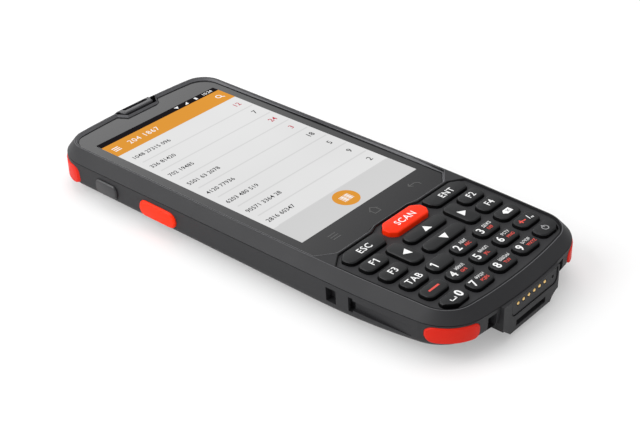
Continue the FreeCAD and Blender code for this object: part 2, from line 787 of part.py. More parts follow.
def battery_pack():
    half = BATTERY_WIDTH / 2
    reach = BATTERY_LENGTH / 2
    cell_body = prism(
        rectangle(-half, half, BAY_CENTRE - reach, BAY_CENTRE + reach, 1.2), BATTERY_Z, BATTERY_Z + BATTERY_THICKNESS
    )
    edges = [e for e in cell_body.Edges if e.BoundBox.ZMin > BATTERY_Z + BATTERY_THICKNESS - 0.01]
    return cell_body.makeChamfer(0.5, edges)


def slot_prism(length, height, x0, x1, y, radius_share=0.5):
    """Round-ended bar along X, drawn as a slot in the side view."""
    r = min(height, length) * radius_share - 0.01
    profile = rounded([
        (-length / 2, -height / 2, r), (length / 2, -height / 2, r), (length / 2, height / 2, r),
        (-length / 2, height / 2, r),
    ])
    solid = Part.Face(profile).extrude(vec(0, 0, x1 - x0))
    solid.rotate(vec(0, 0), vec(1, 1, 1), 120)
    solid.translate(vec(x0, y, CONTROL_LEVEL))
    return solid


def side_control(length, height, y, radius_share, crown):
    """Right-hand side cap with a flange behind the wall."""
    flange_out = HALF - WALL - 0.1
    cap = slot_prism(length, height, flange_out - 0.4, HALF + CONTROL_PROUD, y, radius_share)
    outer = [e for e in cap.Edges if e.BoundBox.XMin > HALF + CONTROL_PROUD - 0.01]
    cap = cap.makeChamfer(crown, outer)
    flange = box(
        flange_out - CONTROL_FLANGE,
        flange_out,
        y - length / 2 - 0.9,
        y + length / 2 + 0.9,
        CONTROL_LEVEL - height / 2 + 0.3,
        CONTROL_LEVEL + height / 2 - 0.3,
    )
    return fused([cap, flange])


def side_opening(length, height, y, radius_share):
    return slot_prism(
        length + 2 * CONTROL_GAP, height + 2 * CONTROL_GAP, HALF - WALL - 3, HALF + 3, y, radius_share
    )


def trigger_y():
    return TOP - TRIGGER_FROM_TOP


def button_y():
    return TOP - BUTTON_FROM_TOP


def side_switches():
    """Pressure switches on the strips behind the side controls, one solid a side."""
    x1 = HALF - WALL - 0.1 - CONTROL_FLANGE - CONTROL_TRAVEL - 0.15
    strip = box(x1 - 0.8, x1 - 0.3, trigger_y() - 7, button_y() + 4, CONTROL_LEVEL - 2.0, CONTROL_LEVEL + 1.0)
    pads = [box(x1 - 0.4, x1, y - 1.5, y + 1.5, CONTROL_LEVEL - 1.5, CONTROL_LEVEL + 0.8) for y in
            (trigger_y(), button_y())]
    right = fused([strip] + pads)
    return Part.makeCompound(both_sides(right))


def bumper_band(extra, deeper):
    outer = prism(inset(parting_outline(), -BUMPER_PROUD - extra), -2, 16)
    inner = prism(inset(parting_outline(), BUMPER_DEPTH + deeper), -3, 17)
    return outer.cut(inner)


def bumper_window(side_y, end_x, end_y, z0, z1, gap):
    """Round-cornered bar through a right-hand corner, square to the line between the bumper's two ends."""
    a = vec(HALF, side_y)
    b = vec(end_x, end_y)
    chord = b - a
    half = chord.Length / 2 + gap
    height = z1 - z0 + 2 * gap
    profile = rectangle(-half, half, -height / 2, height / 2, 2.0)
    solid = Part.Face(profile).extrude(vec(0, 0, 40))
    solid.translate(vec(0, 0, -20))
    solid.rotate(vec(0, 0), vec(1, 0), 90)
    solid.rotate(vec(0, 0), vec(0, 0, 1), math.degrees(math.atan2(chord.y, chord.x)))
    middle = (a + b) * 0.5
    solid.translate(vec(middle.x, middle.y, (z0 + z1) / 2))
    near = box(0, WIDTH, min(middle.y, 0) * 2 - 10, max(middle.y, 0) * 2 + 10, -5, 20)
    return solid.common(near)


def top_bumper(gap, deeper):
    window = bumper_window(TOP - 14.0, 20.0, TOP - 0.5, 4.0, 10.2, gap)
    return bumper_band(gap * 4, deeper).common(window)


def bottom_bumper(gap, deeper):
    window = bumper_window(BOTTOM + 8.7, 21.0, BODY_BOTTOM + 1.5, 6.9, 12.0 - SEAM, gap)
    return bumper_band(gap * 4, deeper).common(window)


def softened(bumper):
    """Bumper with its outer edges broken."""
    outline = prism(inset(parting_outline(), -BUMPER_PROUD + 0.02), -3, 17)
    edges = []
    for edge in bumper.Edges:
        middle = edge.valueAt((edge.FirstParameter + edge.LastParameter) / 2)
        if not outline.isInside(middle, 1e-4, True):
            if edge.BoundBox.DiagonalLength > 0.2 and not is_upright_seam(edge, bumper):
                edges.append(edge)
    return bumper.makeChamfer(0.25, edges)


def is_upright_seam(edge, solid):
    """Whether an edge only parts two smooth pieces of the outer face."""
    bounds = edge.BoundBox
    upright = bounds.XLength < 0.01 and bounds.YLength < 0.01
    inside = bounds.ZMin > solid.BoundBox.ZMin + 0.01 or bounds.ZMax < solid.BoundBox.ZMax - 0.01
    return upright and not inside or upright and bounds.ZLength > 4.0


def strap_recess():
    """Slots and long shallow pocket in the right side, for a hand strap."""
    y = BOTTOM + 44.0
    deep = HALF - 2.6
    first = box(deep, HALF + 2, y - 3.5, y, 6.0, 10.5)
    second = box(deep, HALF + 2, y - 9.3, y - 7.8, 6.0, 10.7)
    link = box(deep, HALF - 1.2, y - 8.0, y - 3.4, 6.0, 10.2)
    shallow = box(HALF - 1.6, HALF + 2, y - 28.0, y - 9.2, 6.7, 10.0)
    return fused([first, second, link, shallow])


def dock_opening(gap, depth):
    """Rounded plate outline on the bottom end, cut to a depth."""
    top = parting_level(BOTTOM) - SEAM - 0.3
    profile = rounded([
        (-DOCK_LEFT - gap, DOCK_BOTTOM - gap, 1.8), (DOCK_RIGHT + gap, DOCK_BOTTOM - gap, 1.8),
        (DOCK_RIGHT + gap, top + gap, 0.4), (-DOCK_LEFT - gap, top + gap, 0.4),
    ])
    solid = Part.Face(profile).extrude(vec(0, 0, depth))
    solid.rotate(vec(0, 0), vec(1, 0), 90)
    solid.translate(vec(0, BOTTOM + depth, 0))
    return solid


def pin_places():
    return [(i - (PIN_COUNT - 1) / 2) * PIN_PITCH for i in range(PIN_COUNT)]


def end_cylinder(x, z, radius, y0, y1):
    return Part.makeCylinder(radius, y1 - y0, vec(x, y0, z), vec(0, 1, 0))


def dock_plate():
    plate = dock_opening(0, DOCK_DEPTH)
    plate = plate.cut(box(-40, 40, BOTTOM - 1, BOTTOM + 0.2, 0, 20))
    for x in pin_places():
        plate = plate.cut(end_cylinder(x, PIN_LEVEL, PIN_RADIUS, BOTTOM - 1, BOTTOM + 3))
    plate = plate.cut(end_cylinder(MICROPHONE_X, PIN_LEVEL - 0.4, 0.5, BOTTOM - 1, BOTTOM + 3))
    return plate


def contact_pins():
    pins = []
    for x in pin_places():
        head = end_cylinder(x, PIN_LEVEL, PIN_RADIUS - 0.01, BOTTOM + 0.08, BOTTOM + 2.4)
        pins.append(head)
    return Part.makeCompound(pins)


def end_cuts():
    """Lip slot, strap holes and the seat of the dock plate in the bottom end."""
    lip = box(-LIP_SLOT_HALF, LIP_SLOT_HALF, BOTTOM - 1, BOTTOM + 3.0, 3.2, 5.0)
    hole = box(
        STRAP_HOLE_X - STRAP_HOLE_WIDTH / 2,
        STRAP_HOLE_X + STRAP_HOLE_WIDTH / 2,
        BOTTOM - 1,
        BOTTOM + 5.0,
        6.9,
        6.9 + STRAP_HOLE_HEIGHT,
    )
    pins = box(-7.6, 7.6, BOTTOM, BOTTOM + 2.6, PIN_LEVEL - 1.2, PIN_LEVEL + 1.2)
    return [lip] + both_sides(hole) + [dock_opening(0.12, DOCK_DEPTH + 0.05), pins]


def scan_window_cut(gap, y0, y1):
    wire = rectangle(-11.0 - gap, 11.0 + gap, -2.6 - gap, 2.6 + gap, 1.2)
    solid = Part.Face(wire).extrude(vec(0, 0, y1 - y0))
    solid.rotate(vec(0, 0), vec(1, 0), 90)
    solid.translate(vec(0, y1, SCAN_ENGINE_Z + 2.6))
    return solid


def scan_window():
    return scan_window_cut(0, TOP - 2.1, TOP - 0.9)


def scan_engine():
    middle = SCAN_ENGINE_Z + 2.6
    body = box(-10.5, 10.5, TOP - 14.0, TOP - 2.9, SCAN_ENGINE_Z, SCAN_ENGINE_Z + 5.2)
    lens = end_cylinder(-3.5, middle, 2.2, TOP - 3.0, TOP - 2.3)
    lamp = end_cylinder(4.5, middle, 1.6, TOP - 3.0, TOP - 2.4)
    return fused([body, lens, lamp])


def camera_place():
    return -12.0, TOP - 22.0


def back_openings():
    """Holes in the floor of the back housing: camera, flash, sound slots and screw bores."""
    x, y = camera_place()
    cuts = [
        Part.makeCylinder(4.6, 8, vec(x, y, -1)),
        Part.makeCylinder(5.6, 1.1, vec(x, y, -0.5)),
        Part.makeCylinder(2.0, 8, vec(x + 10.5, y, -1)),
    ]
    for i in range(5):
        cuts.append(box(8.0 + 2.4 * i, 9.1 + 2.4 * i, y - 4.5, y + 4.5, -1, FLOOR + 1))
    for sx, sy in screw_places():
        bore = Part.makeCylinder(SCREW_RADIUS + 0.15, 20, vec(sx, sy, -1))
        head = Part.makeCylinder(SCREW_HEAD_RADIUS + 0.2, 3.0 + screw_seat(sy), vec(sx, sy, -3.0))
        cuts.extend(both_sides(bore) + both_sides(head))
    return cuts


def screw_seat(y):
    """Height at which a screw head bears, which follows the lower edge of the housing."""
    return 5.8 if y > BOTTOM + 30 else 7.4


def back_bosses():
    bosses = []
    for x, y in screw_places():
        outer = Part.makeCylinder(BOSS_RADIUS, BOSS_MEETING - 4.0, vec(x, y, 4.0))
        bosses.extend(both_sides(outer))
    return bosses


def board_standoffs():
    top = BOARD_LEVEL
    base = BAY_TOP_Z + 1.1
    places = [(20.0, BAY_CENTRE + 24.0), (20.0, BAY_CENTRE - 10.0)]
    posts = []
    for x, y in places:
        posts.extend(both_sides(Part.makeCylinder(1.6, top - base, vec(x, y, base))))
    return posts


def back_housing():
    outer = fused([side_body(), belly(), dock_block()])
    outer = outer.common(below_parting(-SEAM))
    shell = outer.cut([back_hollow(), battery_bay()])
    shell = fused([shell] + [boss.common(outer) for boss in back_bosses()] + board_standoffs())
    cuts = back_openings() + end_cuts()
    cuts += [
        side_opening(TRIGGER_LENGTH, TRIGGER_HEIGHT, trigger_y(), 0.5),
        mirrored(side_opening(TRIGGER_LENGTH, TRIGGER_HEIGHT, trigger_y(), 0.5)),
        mirrored(side_opening(BUTTON_LENGTH, BUTTON_HEIGHT, button_y(), 0.36)),
        scan_window_cut(0.1, TOP - 2.15, TOP + 2),
        scan_window_cut(-1.0, TOP - 9, TOP + 2),
    ]
    for recess in (strap_recess(), top_bumper(BUMPER_GAP, 0.05), bottom_bumper(BUMPER_GAP, 0.05)):
        cuts += both_sides(recess)
    return shell.cut(cuts)


def housing_seal():
    """Flat gasket between the two housings."""
    outer = tilted(inset(parting_outline(), 0.5), PARTING_HEIGHT - SEAM)
    inner = tilted(inset(parting_outline(), 1.4), PARTING_HEIGHT - SEAM)
    ring = Part.Face(outer).extrude(vec(0, 0, SEAM)).cut(Part.Face(inner).extrude(vec(0, 0, SEAM)))
    return ring


def main_board():
    half = MAIN_BOARD_WIDTH / 2
    y0 = BOTTOM + 50.0
    y1 = TOP - 10.0
    board = box(-half, half, y0, y1, BOARD_LEVEL, BOARD_LEVEL + BOARD_THICKNESS)
    return clear_of_bosses(board)


def shield_cans():
    """Tinned covers under the board's upper half, one solid each."""
    low = BOARD_LEVEL - 1.6
    cans = [
        box(-18, -2, TOP - 48.0, TOP - 30.0, low, BOARD_LEVEL),
        box(2, 20, TOP - 48.0, TOP - 30.0, low, BOARD_LEVEL),
    ]
    return Part.makeCompound(cans)


def camera_module():
    x, y = camera_place()
    barrel = Part.makeCylinder(3.8, 3.2, vec(x, y, 1.5))
    block = box(x - 5, x + 5, y - 5, y + 5, 3.2, 6.4)
    return fused([barrel, block])


def camera_lens():
    x, y = camera_place()
    return Part.makeCylinder(4.55, 0.8, vec(x, y, 0.6))


def flash_lens():
    x, y = camera_place()
    return Part.makeCylinder(1.95, 2.0, vec(x + 10.5, y, 0.2))


def loudspeaker():
    x, y = camera_place()
    return box(6.5, 20.5, y - 6.0, y + 6.0, FLOOR + 0.05, FLOOR + 3.6)


def earpiece_speaker():
    y = CREASE_TOP - RIM_LAND
    return box(-6, 6, y - 2.2, y + 0.8, BOARD_LEVEL, GLASS_SEAT_Z - 0.9).cut(
        box(-40, 40, -LENGTH, LENGTH, DECK_Z - 0.05, 30)
    )


def vibration_motor():
    y = BAY_CENTRE - BAY_LENGTH / 2 - 8.5
    return Part.makeCylinder(2.0, 10.0, vec(-15.0, y, BELLY_LIP_HEIGHT + 4.65), vec(1, 0, 0))


def housing_screws():
    screws = []
    for x, y in screw_places():
        seat = screw_seat(y)
        shank = Part.makeCylinder(SCREW_RADIUS - 0.16, 11.2 - seat, vec(x, y, seat))
        head = Part.makeCylinder(SCREW_HEAD_RADIUS, SCREW_HEAD_HEIGHT, vec(x, y, seat - SCREW_HEAD_HEIGHT))
        screws.extend(both_sides(fused([shank, head])))
    return Part.makeCompound(screws)


def bumper_nodes():
    top = softened(top_bumper(0, 0))
    bottom = softened(bottom_bumper(0, 0))
    return {
        "bumper_top_right": top,
        "bumper_top_left": mirrored(top),
        "bumper_bottom_right": bottom,
        "bumper_bottom_left": mirrored(bottom),
    }


def keypad_nodes():
    plans = key_plans()
    nodes = {name: key_cap(name, corners) for name, corners in plans.items()}
    nodes["keypad_plate"] = keypad_plate(plans)
    nodes["keypad_mat"] = keypad_mat(plans)
    nodes["keypad_board"] = keypad_board()
    return nodes


def side_nodes():
    trigger = side_control(TRIGGER_LENGTH, TRIGGER_HEIGHT, trigger_y(), 0.5, 0.5)
    button = side_control(BUTTON_LENGTH, BUTTON_HEIGHT, button_y(), 0.36, 0.35)
    return {
        "right_trigger": trigger,
        "left_trigger": mirrored(trigger),
        "left_button": mirrored(button),
        "side_switches": side_switches(),
    }


def housing_nodes():
    return {
        "front_housing": front_housing(),
        "back_housing": back_housing(),
        "housing_seal": housing_seal(),
        "housing_screws": housing_screws(),
        "battery_cover": battery_cover(),
        "battery_pack": battery_pack(),
        "dock_plate": dock_plate(),
        "contact_pins": contact_pins(),
    }


def inner_nodes():
    return {
        "touch_glass": touch_glass(),
        "display_panel": display_panel(),
        "earpiece_bridge": earpiece_bridge(),
        "main_board": main_board(),
        "shield_cans": shield_cans(),
        "scan_window": scan_window(),
        "scan_engine": scan_engine(),
        "camera_module": camera_module(),
        "camera_lens": camera_lens(),
        "flash_lens": flash_lens(),
        "loudspeaker": loudspeaker(),
        "earpiece_speaker": earpiece_speaker(),
        "vibration_motor": vibration_motor(),
    }


def main():
    os.makedirs("parts", exist_ok=True)
    nodes = {}
    for group in (housing_nodes, inner_nodes, keypad_nodes, side_nodes, bumper_nodes):
        nodes.update(group())
    for name, shape in nodes.items():
        shape.exportStep(os.path.join("parts", name + ".step"))
        print(name, len(shape.Solids), shape.isValid(), round(shape.Volume, 2))
    print(len(nodes), "nodes")


main()
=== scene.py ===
"""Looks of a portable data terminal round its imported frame.

Each operator finishes one group of pieces: housings, glass, rim, screen picture, keys, legends, side
controls, bumpers and fittings. The last one sets the stage. Marks on the glass and the keys are flat
shapes in thin layers.
"""

import math

import bmesh
import bpy
from mathutils import Matrix, Vector


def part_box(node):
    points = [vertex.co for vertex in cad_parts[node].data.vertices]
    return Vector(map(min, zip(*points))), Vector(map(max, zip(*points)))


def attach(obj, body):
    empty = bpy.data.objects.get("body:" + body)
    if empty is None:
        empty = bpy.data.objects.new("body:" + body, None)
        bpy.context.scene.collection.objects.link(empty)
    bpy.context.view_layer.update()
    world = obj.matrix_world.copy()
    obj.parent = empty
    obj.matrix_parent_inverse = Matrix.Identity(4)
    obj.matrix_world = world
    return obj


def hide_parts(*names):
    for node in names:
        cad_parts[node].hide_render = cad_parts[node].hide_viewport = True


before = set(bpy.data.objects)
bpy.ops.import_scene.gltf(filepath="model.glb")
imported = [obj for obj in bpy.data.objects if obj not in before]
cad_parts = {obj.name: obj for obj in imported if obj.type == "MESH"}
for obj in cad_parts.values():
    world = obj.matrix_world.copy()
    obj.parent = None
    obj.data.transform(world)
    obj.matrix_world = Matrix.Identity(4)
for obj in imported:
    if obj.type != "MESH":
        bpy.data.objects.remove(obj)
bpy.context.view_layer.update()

bl_info = {
    "name": "Data Terminal Looks",
    "version": (1, 0, 0),
    "blender": (4, 5, 0),
    "location": "View3D > Sidebar > Terminal",
    "description": "Finishes a portable data terminal: housings, glass, screen, keys, side controls, stage",
    "category": "Add Mesh",
}

MM = 0.001
LAYER = 0.02 * MM  # height of one printed or lit layer over the next
INK = 0.012 * MM  # thickness of a printed mark
SMOOTH_UNDER = math.radians(34)  # edges that turn less than this are shaded smooth
STEEP = 0.55  # a face whose normal rises less than this is a wall
FLAT_ENOUGH = 0.9  # a face whose normal rises this much counts as level
CAPITAL_SHARE = 0.73  # height of a capital as a share of the lettering's size


def linear(code):
    """Linear colour with alpha from a 24-bit display colour."""
    parts = [(code >> shift & 255) / 255 for shift in (16, 8, 0)]
    return tuple(p / 12.92 if p <= 0.04045 else ((p + 0.055) / 1.055) ** 2.4 for p in parts) + (1.0,)


def tint(title, code):
    """Colour setting."""
    return bpy.props.FloatVectorProperty(
        name=title, description=title + " as it looks under plain light", subtype="COLOR", size=4,
        min=0, max=1, default=linear(code),
    )


def length(title, millimetres):
    """Size setting."""
    return bpy.props.FloatProperty(
        name=title, description=title + " on the real terminal", unit="LENGTH", subtype="DISTANCE", min=0,
        default=millimetres * MM,
    )


def share(title, value):
    """Setting from 0 to 1."""
    return bpy.props.FloatProperty(
        name=title, description=title + " from none to full", subtype="FACTOR", min=0, max=1, default=value
    )


class HousingLooks(bpy.types.PropertyGroup):
    """Colours and small sizes of the housings, the rim and the red parts"""

    charcoal: tint("Charcoal moulding", 0x262628)
    # black of the real seal rubber, and of the painted shade in the gaps round the glass, the keypad and the
    # dock plate
    seam: tint("Seam and gasket", 0x0A0A0B)
    red: tint("Corner bumper red", 0xCE200E)
    trigger: tint("Trigger orange-red", 0xFA2E04)
    roughness: share("Moulding roughness", 0.55)
    edge: length("Rounding of small edges", 0.16)
    # painted shade: a black line round the glass, standing in for the shade in its gap to the rim
    glass_gap_shade: length("Width of the black line round the glass", 0.66)
    slope: length("Width of the slope from the rim to the glass", 0.46)
    rise: length("Height of the slope from the rim to the glass", 0.74)
    # painted shade: the black line along the rim's inner edge and round the dock plate, standing in for the
    # shade in those gaps
    groove_shade: length("Width of the black line round the keypad", 0.28)
    # painted highlight: a paler line along the crease, where its rounding would catch the light
    crease: length("Width of the light line along the crease", 0.14)


class KeypadLooks(bpy.types.PropertyGroup):
    """Colours of the keypad and sizes of its legends"""

    plate: tint("Keypad plate", 0x2C2C2E)
    rubber: tint("Key rubber", 0x151618)
    # painted shade: the key side walls are coloured near black, darker than the rubber of the tops, for the
    # shade between the keys
    painted_wall_shade: tint("Key side walls", 0x060607)
    white: tint("White legends", 0xF2F2F2)
    red: tint("Red legends", 0xE2483C)
    faint: tint("Faint legends", 0x9A9A9C)
    rounding: length("Rounding of the key tops", 0.12)
    digit: length("Height of the digits", 2.7)
    letters: length("Height of the small letters", 1.08)
    word: length("Height of the words", 2.3)


class ScreenLooks(bpy.types.PropertyGroup):
    """Colours and size of the lit picture"""

    paper: tint("Screen background", 0xE6E6E6)
    foot: tint("Screen background under the rows", 0xD4D4D4)
    header: tint("Header bar", 0xE29A3C)
    status: tint("Status bar", 0x1E1B1E)
    text: tint("Screen text", 0x2E2E30)
    accent: tint("Marked numbers", 0xC23A4E)
    line: tint("Row lines", 0xD9D9D9)
    icon: tint("Touch key marks", 0x9A9A9A)
    width: length("Width of the picture", 51.84)
    height: length("Height of the picture", 86.4)
    strength: share("Screen brightness", 0.97)


class StageLooks(bpy.types.PropertyGroup):
    """Floor and surrounding light"""

    floor: tint("Floor", 0xF6F6F6)
    reach: length("Reach of the floor", 3000.0)
    sky: share("Strength of the surrounding light", 0.72)


def looks(context, part):
    """Settings of one part of the terminal."""
    return getattr(context.scene, "terminal_" + part)


def node(tree, kind, inputs=None, **settings):
    """New shader node with its settings and its plain input values."""
    made = tree.nodes.new("ShaderNode" + kind)
    for name, value in settings.items():
        setattr(made, name, value)
    for name, value in (inputs or {}).items():
        made.inputs[name].default_value = value
    return made


def shaded(colour, factor):
    """Colour made darker or lighter."""
    return tuple(min(1.0, c * factor) for c in colour[:3]) + (1.0,)


def noise(tree, scale, detail=3.0, roughness=0.5, stretch=None):
    """Noise over the piece in object space, as a height from 0 to 1."""
    place = node(tree, "TexCoord").outputs["Object"]
    if stretch:
        mapping = node(tree, "Mapping", {"Scale": stretch})
        tree.links.new(place, mapping.inputs["Vector"])
        place = mapping.outputs["Vector"]
    made = node(tree, "TexNoise", {"Scale": scale, "Detail": detail, "Roughness": roughness})
    tree.links.new(place, made.inputs["Vector"])
    return made.outputs["Fac"]


def spread(tree, source, low, high, to_low, to_high):
    """Output that moves a range of values to another."""
    made = node(tree, "MapRange", {"From Min": low, "From Max": high, "To Min": to_low, "To Max": to_high})
    tree.links.new(source, made.inputs["Value"])
    return made.outputs["Result"]


def blended(tree, factor, first, second):
    """Colour between two, each a fixed colour or an output."""
    made = node(tree, "Mix", data_type="RGBA")
    tree.links.new(factor, made.inputs[0])
    for socket, value in ((made.inputs[6], first), (made.inputs[7], second)):
        if isinstance(value, bpy.types.NodeSocket):
            tree.links.new(value, socket)
        else:
            socket.default_value = value
    return made.outputs[2]


def new_material(name, **values):
    """Material with plain values on its shader, as material, node tree and shader."""
    made = bpy.data.materials.new(name)
    made.use_nodes = True
    shader = made.node_tree.nodes["Principled BSDF"]
    for socket, value in values.items():
        shader.inputs[socket.replace("_", " ")].default_value = value
    made.diffuse_color = values.get("Base_Color", (0.5, 0.5, 0.5, 1))
    return made, made.node_tree, shader


def roughened(tree, shader, patches, roughness, swing):
    """Roughness that goes up and down with the patches."""
    low, high = max(0.02, roughness - swing), min(1, roughness + swing)
    tree.links.new(spread(tree, patches, 0.3, 0.7, low, high), shader.inputs["Roughness"])


def mottled(tree, socket, patches, dark, pale, narrow=0.2):
    """Colour that goes between two with the patches."""
    factor = spread(tree, patches, 0.5 - narrow, 0.5 + narrow, 0, 1)
    tree.links.new(blended(tree, factor, dark, pale), socket)


def bumped(tree, shader, height, strength, depth):
    """Fine relief on the surface."""
    bump = node(tree, "Bump", {"Strength": strength, "Distance": depth})
    tree.links.new(height, bump.inputs["Height"])
    tree.links.new(bump.outputs["Normal"], shader.inputs["Normal"])


def moulded(name, colour, roughness=0.5, relief=0.25, scuffs=0.12, gloss=0.3):
    """Moulded plastic or rubber: fine grain, soft patches and a few pale scuffs."""
    made, tree, shader = new_material(name, Base_Color=colour, Specular_IOR_Level=gloss)
    patches = noise(tree, 38.0, 4.0, 0.55)
    body = blended(tree, spread(tree, patches, 0.32, 0.68, 0, 1), shaded(colour, 0.9), shaded(colour, 1.1))
    marks = spread(tree, noise(tree, 120.0, 9.0, 0.72, (1.0, 0.35, 1.0)), 0.6, 0.76, 0, scuffs)
    tree.links.new(blended(tree, marks, body, shaded(colour, 1.9)), shader.inputs["Base Color"])
    roughened(tree, shader, patches, roughness, 0.06)
    bumped(tree, shader, noise(tree, 2600.0, 2.0), relief, 0.03 * MM)
    return made


def metal(name, colour, roughness):
    """Bare metal, with dull patches and fine lines."""
    made, tree, shader = new_material(name, Base_Color=colour, Metallic=1.0)
    patches = noise(tree, 260.0, 5.0, 0.6)
    mottled(tree, shader.inputs["Base Color"], patches, shaded(colour, 0.82), shaded(colour, 1.08))
    roughened(tree, shader, patches, roughness, 0.08)
    bumped(tree, shader, noise(tree, 1800.0, 2.0, 0.5, (1.0, 8.0, 1.0)), 0.12, 0.02 * MM)
    return made


def glossy(name, colour, roughness):
    """Dark glass or clear plastic over black, with faint smears."""
    made, tree, shader = new_material(name, Base_Color=colour)
    smears = noise(tree, 22.0, 5.0, 0.6, (1.0, 0.4, 1.0))
    mottled(tree, shader.inputs["Base Color"], smears, shaded(colour, 0.85), shaded(colour, 1.15))
    roughened(tree, shader, smears, roughness, 0.02)
    bumped(tree, shader, noise(tree, 60.0, 1.0), 0.02, 0.01 * MM)
    return made


def lit(name, colour, strength):
    """Part of the lit picture, seen under the cover glass."""
    made, tree, shader = new_material(
        name, Base_Color=shaded(colour, 0.02), Emission_Strength=strength, Specular_IOR_Level=0.0,
    )
    patches = spread(tree, noise(tree, 18.0, 2.0), 0.3, 0.7, 0, 1)
    tree.links.new(blended(tree, patches, shaded(colour, 0.955), shaded(colour, 1.02)),
                   shader.inputs["Emission Color"])
    roughened(tree, shader, patches, 0.2, 0.02)
    return made


def printed(name, colour):
    """Legend ink, with slight thin spots."""
    made, tree, shader = new_material(name, Base_Color=colour)
    thin = spread(tree, noise(tree, 900.0, 4.0), 0.35, 0.65, 0, 1)
    ink = blended(tree, thin, shaded(colour, 0.9), shaded(colour, 1.02))
    tree.links.new(ink, shader.inputs["Base Color"])
    roughened(tree, shader, thin, 0.5, 0.08)
    return made


def painted_gap_shade(look):
    """Dull black of the thin lines round the glass, the keypad and the dock plate: painted shade that stands
    in for the shade in the narrow gaps there.
    """
    return bpy.data.materials.get("painted_gap_shade_black") or moulded(
        "painted_gap_shade_black", look.seam, 0.5, scuffs=0.02, gloss=0.1
    )


def dress(names, material):
    """Gives frame nodes one material."""
    for name in names:
        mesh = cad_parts[name].data
        mesh.materials.clear()
        mesh.materials.append(material)


def merged_copy(name):
    """Frame node as one closed mesh with whole flat faces."""
    bm = bmesh.new()
    bm.from_mesh(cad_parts[name].data)
    bmesh.ops.remove_doubles(bm, verts=bm.verts, dist=0.002 * MM)
    bmesh.ops.dissolve_limit(bm, angle_limit=math.radians(0.6), verts=bm.verts, edges=bm.edges)
    return bm


def soften(bm, width, segments, sharper_than):
    """Rounds the edges that turn more than an angle in degrees."""
    least = math.radians(sharper_than)
    edges = [e for e in bm.edges if e.is_manifold and e.calc_face_angle(0) > least]
    bmesh.ops.bevel(
        bm, geom=edges, offset=width, offset_type="OFFSET", segments=segments, profile=0.5, affect="EDGES",
        clamp_overlap=True, material=-1,
    )


def new_object(name, bm, *materials):
    """Object in the scene from a bmesh, which is used up."""
    mesh = bpy.data.meshes.new(name)
    bm.to_mesh(mesh)
    bm.free()
    for material in materials:
        mesh.materials.append(material)
    made = bpy.data.objects.new(name, mesh)
    bpy.context.scene.collection.objects.link(made)
    return made


def piece(name, bm, materials, body="root", replaced=None):
    """Finished piece from a bmesh, which rides on a body and may stand in for a frame node."""
    made = new_object(name, bm, *materials)
    made.data.shade_smooth()
    made.data.set_sharp_from_angle(angle=SMOOTH_UNDER)
    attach(made, body)
    if replaced:
        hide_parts(replaced)


def softened_piece(name, materials, width, segments=2, body="root", sharper_than=25.0):
    """Frame node with its edges rounded, shown in its place. Steep faces take the second material, if any: on
    the keys, the painted shade of their side walls.
    """
    bm = merged_copy(name)
    soften(bm, width, segments, sharper_than)
    bm.normal_update()
    for face in bm.faces if len(materials) > 1 else ():
        face.material_index = int(face.normal.z < STEEP)
    piece(name + "_finish", bm, materials, body, name)


def top_faces(bm):
    """Level faces at the greatest height."""
    bm.normal_update()
    top = max(v.co.z for v in bm.verts)
    return [f for f in bm.faces if f.normal.z > FLAT_ENOUGH and f.calc_center_median().z > top - LAYER]


def only(bm, faces):
    """Takes away all other faces."""
    kept = set(faces)
    bmesh.ops.delete(bm, geom=[f for f in bm.faces if f not in kept], context="FACES")


LONG_SIDE = 60 * MM  # a side of the glass that is longer than this gets a point where the rim starts
RIM_START = 6 * MM  # the rim starts this far up from the lower end of the glass


def outline(name, turn=0.0):
    """Corners of the outer edge of a frame node's top face, in order, after a turn about X."""
    bm = merged_copy(name)
    bmesh.ops.rotate(bm, cent=(0, 0, 0), matrix=Matrix.Rotation(turn, 3, "X"), verts=bm.verts)
    only(bm, top_faces(bm))
    edges = {e for e in bm.edges if e.is_boundary}
    at = max(bm.verts, key=lambda v: v.co.y)
    places = []
    while True:
        edge = next((e for e in at.link_edges if e in edges), None)
        if edge is None:
            bm.free()
            return places[1:] + places[:1]
        edges.discard(edge)
        at = edge.other_vert(at)
        places.append(at.co.copy())


def edge_band(places, width):
    """New bmesh with a flat band along the inside of a closed line of corners."""
    bm = bmesh.new()
    face = bm.faces.new([bm.verts.new(place) for place in places])
    face.normal_update()
    bmesh.ops.inset_region(bm, faces=[face], thickness=width, use_even_offset=True, use_boundary=True)
    bmesh.ops.delete(bm, geom=[face], context="FACES")
    return bm


def outer_line(name, width, turn=0.0):
    """Thin flat line along the outer edge of a frame node's top face, after a turn about X."""
    bm = edge_band(outline(name, turn), width)
    bmesh.ops.translate(bm, vec=(0, 0, LAYER / 2), verts=bm.verts)
    inked(bm)
    bmesh.ops.rotate(bm, cent=(0, 0, 0), matrix=Matrix.Rotation(-turn, 3, "X"), verts=bm.verts)
    return bm


def land_lines(name, inner, outer):
    """Flat lines along the inner and the outer edge of a frame node's top land: on the rim, painted shade
    along the inner edge and a painted highlight along the outer one.
    """
    made = []
    for width, outside in ((inner, False), (outer, True)):
        bm = merged_copy(name)
        land = top_faces(bm)
        only(bm, land)
        bmesh.ops.inset_region(bm, faces=land, thickness=width, use_even_offset=True, use_boundary=True)
        bmesh.ops.delete(bm, geom=land, context="FACES")
        # the outer line is all that hangs together with the point nearest the top end
        outermost = {max(bm.verts, key=lambda v: v.co.y)}
        fresh = outermost
        while fresh:
            fresh = {e.other_vert(v) for v in fresh for e in v.link_edges} - outermost
            outermost = outermost | fresh
        others = [v for v in bm.verts if (v in outermost) != outside]
        bmesh.ops.delete(bm, geom=others, context="VERTS")
        bmesh.ops.translate(bm, vec=(0, 0, LAYER / 2), verts=bm.verts)
        made.append(inked(bm))
    return made


